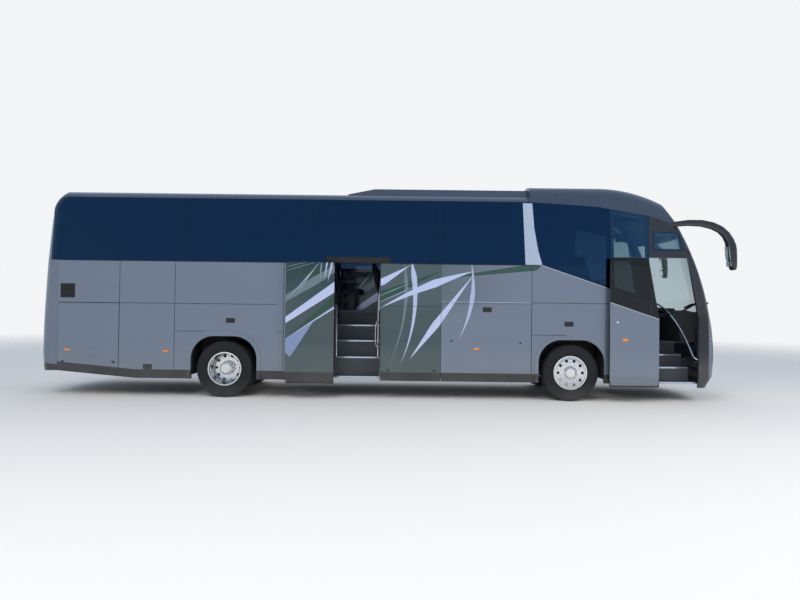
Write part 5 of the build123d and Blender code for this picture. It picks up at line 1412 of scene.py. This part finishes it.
@dataclass
class Cockpit:
    """Dials, displays, switches and vents on the dashboard."""

    middle: float = 0.640
    dial_hood: tuple[Point, Point] = ((5.600, 0.370, 1.650), (5.860, 0.910, 1.745))
    centre_hood: tuple[Point, Point] = ((5.595, -0.200, 1.640), (5.800, 0.260, 1.730))
    dial_screen: tuple[Point, Point] = ((5.590, 0.410, 1.662), (5.604, 0.870, 1.730))
    centre_screen: tuple[Point, Point] = ((5.588, -0.150, 1.655), (5.600, 0.110, 1.716))
    dials: tuple[float, ...] = (-0.15, 0.0, 0.15)
    dial: tuple[Pair, ...] = ((0.0, 0.030), (0.003, 0.031), (0.003, 0.027), (0.0, 0.026))
    dial_face: Pair = (5.590, 1.696)
    switches: int = 8
    switch_columns: int = 4
    switch_pitch: float = 0.028
    switch_first: Pair = (0.130, 1.664)
    switch_size: Point = (0.012, 0.020, 0.018)
    switch_x: float = 5.584
    vents: tuple[float, ...] = (-0.42, -0.30, 1.00, 1.10)
    vent_x: Pair = (5.578, 5.600)
    vent_width: float = 0.085
    vent_low: float = 1.588
    vent_slats: int = 4
    vent_pitch: float = 0.013
    vent_slat: float = 0.006
    wheel_centre: Pair = (5.440, 1.830)
    column: Pair = (0.5, -0.866)
    boot_from: float = 0.190
    boot: tuple[Pair, ...] = ((0.0, 0.0), (0.0, 0.036), (0.018, 0.046), (0.105, 0.058),
                              (0.150, 0.060), (0.150, 0.0))

    def instruments(self) -> None:
        """Make the hoods, the displays, the dials and the switches."""
        hood = Piece("dial_hood")
        hood.block(*self.dial_hood, edge=0.030, segments=4)
        hood.block(*self.centre_hood, edge=0.022, segments=3)
        hood.done(Look.DASH, "body", "plastic")
        screens = Piece("dial_screens")
        screens.block(*self.dial_screen, edge=0.003)
        screens.block(*self.centre_screen, edge=0.003)
        screens.done(Look.SCREEN, "body", "trim")
        dials = Piece("dial_rings")
        for shift in self.dials:
            dials.turned(self.dial, (self.dial_face[0], self.middle + shift, self.dial_face[1]),
                         (-1, 0, 0), steps=32)
        for count in range(self.switches):
            row, column = divmod(count, self.switch_columns)
            corner = Vector((self.switch_x, self.switch_first[0] + column * self.switch_pitch,
                             self.switch_first[1] + row * self.switch_pitch))
            dials.block(corner, corner + Vector(self.switch_size), edge=0.002)
        dials.done(Look.DIAL, "body", "plastic")

    def build(self) -> None:
        """Make the cockpit's parts."""
        self.instruments()
        vents = Piece("dash_vents")
        for place in self.vents:
            for slat in range(self.vent_slats):
                height = self.vent_low + slat * self.vent_pitch
                vents.block((self.vent_x[0], place, height),
                            (self.vent_x[1], place + self.vent_width, height + self.vent_slat),
                            edge=0.001)
        vents.done(Look.BLACK_GLOSS, "body", "plastic")
        boot = Piece("column_boot")
        down = Vector((self.column[0], 0.0, self.column[1])).normalized()
        centre = Vector((self.wheel_centre[0], self.middle, self.wheel_centre[1]))
        boot.turned(self.boot, centre + down * self.boot_from, down, steps=28)
        boot.done(Look.DASH, "body", "plastic")


@dataclass
class Headlamps:
    """Reflector bowls and housings behind the clear lamp lenses."""

    # X, distance from the middle plane, Z and radius
    bowls: tuple[tuple[float, float, float, float], ...] = (
        (6.030, 0.975, 0.860, 0.085), (6.010, 1.010, 1.060, 0.075), (5.975, 1.085, 1.235, 0.062))
    aim: Pair = (0.96, 0.28)
    # Distances along the axis and shares of the radius
    bowl: tuple[Pair, ...] = (
        (0.0, 1.0), (-0.028, 0.86), (-0.050, 0.55), (-0.060, 0.20), (-0.064, 0.20), (-0.054, 0.60),
        (-0.030, 0.92), (0.0, 1.05))
    bulb: tuple[Pair, ...] = (
        (-0.062, 0), (-0.060, 0.24), (-0.030, 0.22), (-0.022, 0.12), (-0.020, 0))
    housing_x: Pair = (5.860, 5.920)
    housing_y: Pair = (0.840, 1.200)
    housing_z: Pair = (0.700, 1.360)

    def build(self) -> None:
        """Make both lamps' insides."""
        for side, name in SIDES:
            bowls, housing = Piece(f"lamp_bowls_{name}"), Piece(f"lamp_housing_{name}")
            out = (self.aim[0], side * self.aim[1], 0.0)
            for along, across, height, radius in self.bowls:
                for profile, steps in ((self.bowl, 40), (self.bulb, 24)):
                    bowls.turned(tuple((deep, share * radius) for deep, share in profile),
                                 (along, side * across, height), out, steps)
            y0, y1 = span(side, *self.housing_y)
            housing.block((self.housing_x[0], y0, self.housing_z[0]),
                          (self.housing_x[1], y1, self.housing_z[1]), edge=0.020)
            bowls.done(Look.CHROME, "body", "lamp")
            housing.done(Look.BLACK_GLOSS, "body", "plastic")


@dataclass
class Intake:
    """The slats and the dark duct behind the front bumper's air intake."""

    face: float = 6.120
    depth: float = 0.030
    half_width: float = 0.640
    low: float = 0.405
    high: float = 0.565
    slats: int = 3
    slat_half: float = 0.006
    slat_reach: float = 0.030
    slat_sink: float = 0.002
    slat_inset: float = 0.060

    def build(self) -> None:
        """Make the duct's back and its slats."""
        piece = Piece("intake_duct")
        piece.block((self.face - self.depth, -self.half_width, self.low),
                    (self.face, self.half_width, self.high), edge=0.004)
        gap = (self.high - self.low) / (self.slats + 1)
        for count in range(self.slats):
            height = self.low + gap * (count + 1)
            half = self.half_width - self.slat_inset
            piece.block((self.face - self.slat_sink, -half, height - self.slat_half),
                        (self.face + self.slat_reach, half, height + self.slat_half), edge=0.003)
        piece.done(Look.BLACK_PLASTIC, "body", "plastic")


@dataclass
class Mirrors:
    """Swept mirror horns with their silvered panes; they stand for the plain CAD mirrors."""

    middle: float = 1.390
    ring: int = 24
    squareness: float = 0.72
    pane_half: float = 0.080
    pane_x: Pair = (6.176, 6.186)
    pane_heights: tuple[Pair, ...] = ((2.600, 2.840), (2.480, 2.582))
    pane_tilt: float = 7.0
    pane_pivot: Point = (6.180, 0.0, 2.80)
    # X, distance from the middle plane, Z, half thickness and half width of each section
    spine: tuple[tuple[float, float, float, float, float], ...] = (
        (5.080, 1.165, 3.215, 0.030, 0.030), (5.300, 1.225, 3.262, 0.046, 0.046),
        (5.520, 1.285, 3.280, 0.056, 0.052), (5.740, 1.340, 3.268, 0.062, 0.056),
        (5.920, 1.372, 3.222, 0.066, 0.058), (6.060, 1.388, 3.150, 0.068, 0.060),
        (6.160, 1.390, 3.055, 0.070, 0.064), (6.222, 1.390, 2.950, 0.074, 0.074),
        (6.250, 1.390, 2.860, 0.080, 0.088), (6.262, 1.390, 2.780, 0.080, 0.096),
        (6.272, 1.390, 2.640, 0.072, 0.098), (6.284, 1.390, 2.520, 0.058, 0.096),
        (6.292, 1.390, 2.450, 0.044, 0.088), (6.296, 1.390, 2.420, 0.026, 0.066))

    def horn(self, piece: Piece, side: int) -> None:
        """Make one arm and head as a chain of rounded sections.

        Args:
            piece: The piece that takes it.
            side: Which side it is on.
        """
        last = len(self.spine) - 1
        behind: list = []
        for count, (along, across, height, thick, wide) in enumerate(self.spine):
            before, after = self.spine[max(count - 1, 0)], self.spine[min(count + 1, last)]
            run = Vector((after[0] - before[0], 0.0, after[2] - before[2])).normalized()
            normal = Vector((-run.z, 0.0, run.x))
            ring = bmesh.ops.create_circle(piece.mesh, cap_ends=count in (0, last),
                                           segments=self.ring, radius=1.0)["verts"]
            for vert in ring:
                out, rise = (math.copysign(abs(value) ** self.squareness, value)
                             for value in vert.co.xy)
                vert.co = (Vector((along, side * across + out * wide, height))
                           + normal * rise * thick)
            edges = list({edge for vert in ring for edge in vert.link_edges})
            if behind:
                bmesh.ops.bridge_loops(piece.mesh, edges=behind + edges)
            behind = edges

    def build(self) -> None:
        """Make both mirrors."""
        horns, panes = Piece("mirror_horns"), Piece("mirror_panes")
        tilt = Matrix.Rotation(math.radians(-self.pane_tilt), 3, "Y")
        for side, _ in SIDES:
            self.horn(horns, side)
            y0, y1 = span(side, self.middle - self.pane_half, self.middle + self.pane_half)
            for low, high in self.pane_heights:
                made = panes.block((self.pane_x[0], y0, low), (self.pane_x[1], y1, high),
                                   edge=0.004)
                bmesh.ops.rotate(panes.mesh, verts=made, cent=self.pane_pivot, matrix=tilt)
        horns.done(Look.BLACK_GLOSS, "body", "trim", "mirrors")
        panes.done(Look.MIRROR, "body", "trim")


@dataclass
class PanelSeams:
    """Dark joints between the fixed panels of each side."""

    half: float = 0.0045
    sink: float = 0.003
    proud: float = 0.0008
    # From and to, as X and Z
    runs: tuple[tuple[float, float, float, float], ...] = (
        (-5.920, 1.706, -1.960, 1.706), (-3.800, 1.205, -3.250, 1.205),
        (-1.930, 1.205, -1.825, 1.205), (-4.812, 0.520, -4.812, 2.465),
        (-3.805, 0.520, -3.805, 2.465), (-1.821, 0.500, -1.821, 2.465),
        (2.697, 0.500, 2.697, 2.465), (2.697, 1.790, 4.780, 1.790),
        (2.697, 1.205, 3.320, 1.205), (4.480, 1.205, 4.780, 1.205))

    def build(self) -> None:
        """Lay the joints on both sides."""
        for side, name in SIDES:
            piece = Piece(f"panel_joints_{name}")
            inner, outer = span(side, SIDE_Y - self.sink, SIDE_Y + self.proud)
            for x0, z0, x1, z1 in self.runs:
                piece.block((x0 - self.half, inner, z0 - self.half),
                            (x1 + self.half, outer, z1 + self.half))
            piece.done(Look.SEAL, "body", "trim")


@dataclass
class RoofDetails:
    """Round guards over the fans of the cooling unit."""

    ring: float = 0.240
    # Heights over the guard's middle and distances inwards from the ring
    section: tuple[Pair, ...] = (
        (-0.020, 0.0), (0.002, 0.0), (0.006, 0.008), (0.006, 0.016), (0.002, 0.022),
        (-0.020, 0.022))
    fans_x: Pair = (0.75, 1.75)
    fan_y: float = 0.42
    sink: float = 0.012
    bars: int = 9
    bar_pitch: float = 0.048
    bar_half: float = 0.004
    bar_inset: float = 0.012
    bar_heights: Pair = (-0.016, 0.002)

    def build(self) -> None:
        """Make the guards."""
        _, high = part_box("roof_unit")
        guards = Piece("fan_guards")
        for along in self.fans_x:
            for side, _ in SIDES:
                centre = (along, side * self.fan_y, high.z - self.sink)
                guards.turned(tuple((rise, self.ring - inwards) for rise, inwards in self.section),
                              centre, (0, 0, 1), steps=48)
                for count in range(self.bars):
                    at = (count - self.bars // 2) * self.bar_pitch
                    half = math.sqrt(max(0.0, (self.ring - self.bar_inset) ** 2 - at ** 2))
                    guards.block((along + at - self.bar_half, centre[1] - half,
                                  centre[2] + self.bar_heights[0]),
                                 (along + at + self.bar_half, centre[1] + half,
                                  centre[2] + self.bar_heights[1]), edge=0.0015)
        guards.done(Look.BLACK_PLASTIC, "body", "plastic")


DRESS: dict[Look, tuple[str, ...]] = {
    Look.PAINT: ("side_wall_left", "side_wall_right", "flap_hold_front_left",
                 "flap_hold_front_right", "flap_hold_rear_left", "flap_hold_rear_right",
                 "flap_engine_left", "flap_engine_right"),
    Look.MASK_PAINT: ("front_mask", "rear_mask", "engine_hood"),
    Look.DOOR_PAINT: ("middle_door",),
    Look.CAB_DOOR_PAINT: ("front_door",),
    Look.ROOF: ("roof_shell", "roof_unit", "roof_hatches"),
    Look.PEARL: ("side_blades",),
    Look.BLACK_GLOSS: ("mirrors", "window_frames", "windscreen_frame"),
    Look.BLACK_PLASTIC: ("wipers", "wheel_housings", "steering_wheel"),
    Look.STEEL: ("chassis_frame", "front_axle", "rear_axle", "front_door_arm", "middle_door_arm",
                 "post_brackets", "knuckle_left", "knuckle_right"),
    Look.CAST: ("engine_block",),
    Look.POLISHED: ("front_rim_left", "front_rim_right", "rear_rims_left", "rear_rims_right"),
    Look.STAIRS: ("entrance_stairs",),
    Look.FLOORING: ("passenger_floor", "luggage_hold"),
    Look.LINING: ("luggage_racks",),
    Look.DASH: ("dashboard",),
    Look.TAIL: ("tail_lamps",),
    Look.LENS: ("headlamps",),
    Look.SIDE_GLASS: ("side_glass",),
    Look.SCREEN_GLASS: ("windscreen",),
    Look.DOOR_GLASS: ("front_door_glass", "rear_window"),
    Look.TYRE: ("front_tyre_left", "front_tyre_right", "rear_tyres_left", "rear_tyres_right"),
    Look.CLOTH: ("passenger_seats", "driver_seat"),
}


def dress_frame(nodes: dict[str, bpy.types.Object]) -> None:
    """Give every CAD node its finish.

    Args:
        nodes: The CAD nodes by name.
    """
    for look, names in DRESS.items():
        for name in names:
            for slot in nodes[name].material_slots:
                slot.material = look.material
            LOG.info("%s dressed as %s", name, look.value.name)


@dataclass(frozen=True)
class SoftLight:
    """One soft light: its name, place, size, power and what it is aimed at."""

    name: str
    place: Point
    size: float
    power: float
    aim: Point


@dataclass
class Studio:
    """The pale floor, the soft lights and the camera at the photograph's place."""

    soft_lights: tuple[SoftLight, ...] = (
        SoftLight("key", (-4.0, -14.0, 11.0), 9.0, 1300.0, (0.0, 0.0, 1.5)),
        SoftLight("fill", (9.0, -9.0, 7.0), 7.0, 520.0, (2.0, 0.0, 1.5)),
        SoftLight("back", (0.0, 13.0, 9.0), 9.0, 500.0, (0.0, 0.0, 2.0)))
    floor_colour: Colour = (0.86, 0.80, 0.72)
    floor_roughness: float = 0.9
    low_sky: Colour = (0.74, 0.76, 0.80)
    high_sky: Colour = (0.42, 0.52, 0.68)
    background: Colour = (0.90, 0.91, 0.92)
    camera_place: Point = (0.295, -12.20, 1.65)
    pitch: float = 0.86
    roll: float = 0.0118
    # The photograph's focal length and width, in pixels of a picture 800 wide
    focal_pixels: float = 600.0
    frame_width: float = 800.0
    sensor: float = 36.0
    sight: float = 400.0
    floor_half: float = 60.0
    fade_from: float = 11.0
    fade_over: float = 22.0

    def floor(self) -> None:
        """Lay the floor, which fades into the white background far from the coach."""
        mesh = bmesh.new()
        bmesh.ops.create_grid(mesh, x_segments=1, y_segments=1, size=self.floor_half)
        data = bpy.data.meshes.new("studio_floor")
        mesh.to_mesh(data)
        mesh.free()
        floor = bpy.data.objects.new("studio_floor", data)
        bpy.context.scene.collection.objects.link(floor)
        material = bpy.data.materials.new("studio_floor")
        material.use_nodes = True
        shader = material.node_tree.nodes["Principled BSDF"]
        shader.inputs["Base Color"].default_value = (*self.floor_colour, 1.0)
        shader.inputs["Roughness"].default_value = self.floor_roughness
        graph = Graph(material.node_tree)
        _, along, across, _ = graph.place()
        squares = graph.math("ADD", graph.math("MULTIPLY", along, along),
                             graph.math("MULTIPLY", across, across))
        away = graph.math("SQRT", squares)
        fade = graph.step(away, self.fade_from + self.fade_over / 2, self.fade_over)
        blend = graph.add("ShaderNodeMixShader")
        graph.feed(blend.inputs[0], fade)
        graph.feed(blend.inputs[1], shader.outputs[0])
        graph.feed(blend.inputs[2], graph.add("ShaderNodeBsdfTransparent").outputs[0])
        graph.feed(material.node_tree.nodes["Material Output"].inputs["Surface"],
                   blend.outputs[0])
        data.materials.append(material)

    def lights(self) -> None:
        """Hang the soft lights and set the world."""
        for light in self.soft_lights:
            lamp = bpy.data.lights.new(light.name, "AREA")
            lamp.size = light.size
            lamp.energy = light.power
            holder = bpy.data.objects.new(light.name, lamp)
            holder.location = light.place
            direction = Vector(light.aim) - Vector(light.place)
            holder.rotation_euler = direction.to_track_quat("-Z", "Y").to_euler()
            holder.visible_glossy = False
            holder.visible_transmission = False
            bpy.context.scene.collection.objects.link(holder)
        world = bpy.data.worlds.new("studio")
        bpy.context.scene.world = world
        world.use_nodes = True
        graph = Graph(world.node_tree)
        sky = world.node_tree.nodes["Background"]
        vector = graph.add("ShaderNodeTexCoord").outputs["Generated"]
        split = graph.add("ShaderNodeSeparateXYZ")
        graph.feed(split.inputs[0], vector)
        rise = graph.step(split.outputs[2], 0.10, 0.40)
        around = graph.mix(rise, self.low_sky, self.high_sky)
        seen = graph.add("ShaderNodeLightPath").outputs["Is Camera Ray"]
        graph.feed(sky.inputs["Color"], graph.mix(seen, around, self.background))
        sky.inputs["Strength"].default_value = 1.0

    def camera(self) -> None:
        """Set up the camera."""
        data = bpy.data.cameras.new("photo_view")
        data.sensor_width = self.sensor
        data.lens = self.sensor * self.focal_pixels / self.frame_width
        data.clip_end = self.sight
        holder = bpy.data.objects.new("photo_view", data)
        tilt = Matrix.Rotation(math.radians(90.0 + self.pitch), 4, "X")
        holder.matrix_world = (Matrix.Translation(self.camera_place) @ tilt
                               @ Matrix.Rotation(self.roll, 4, "Z"))
        bpy.context.scene.collection.objects.link(holder)
        bpy.context.scene.camera = holder

    def build(self) -> None:
        """Make the whole studio."""
        self.floor()
        self.lights()
        self.camera()
        bpy.context.scene.view_settings.view_transform = "Standard"


def main() -> None:
    """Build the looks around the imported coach."""
    logging.basicConfig(level=logging.INFO, format="%(name)s: %(message)s")
    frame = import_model()
    studio = Studio()
    studio.build()
    SharedGroups().build()
    dress_frame(frame["nodes"])
    Tyres().build_all()
    WheelFittings().build_all()
    SideDetails().build()
    Doors().build()
    Handrails().build()
    Seats().build()
    Cockpit().build()
    Headlamps().build()
    Intake().build()
    Mirrors().build()
    PanelSeams().build()
    RoofDetails().build()


if __name__ == "__main__":
    main()
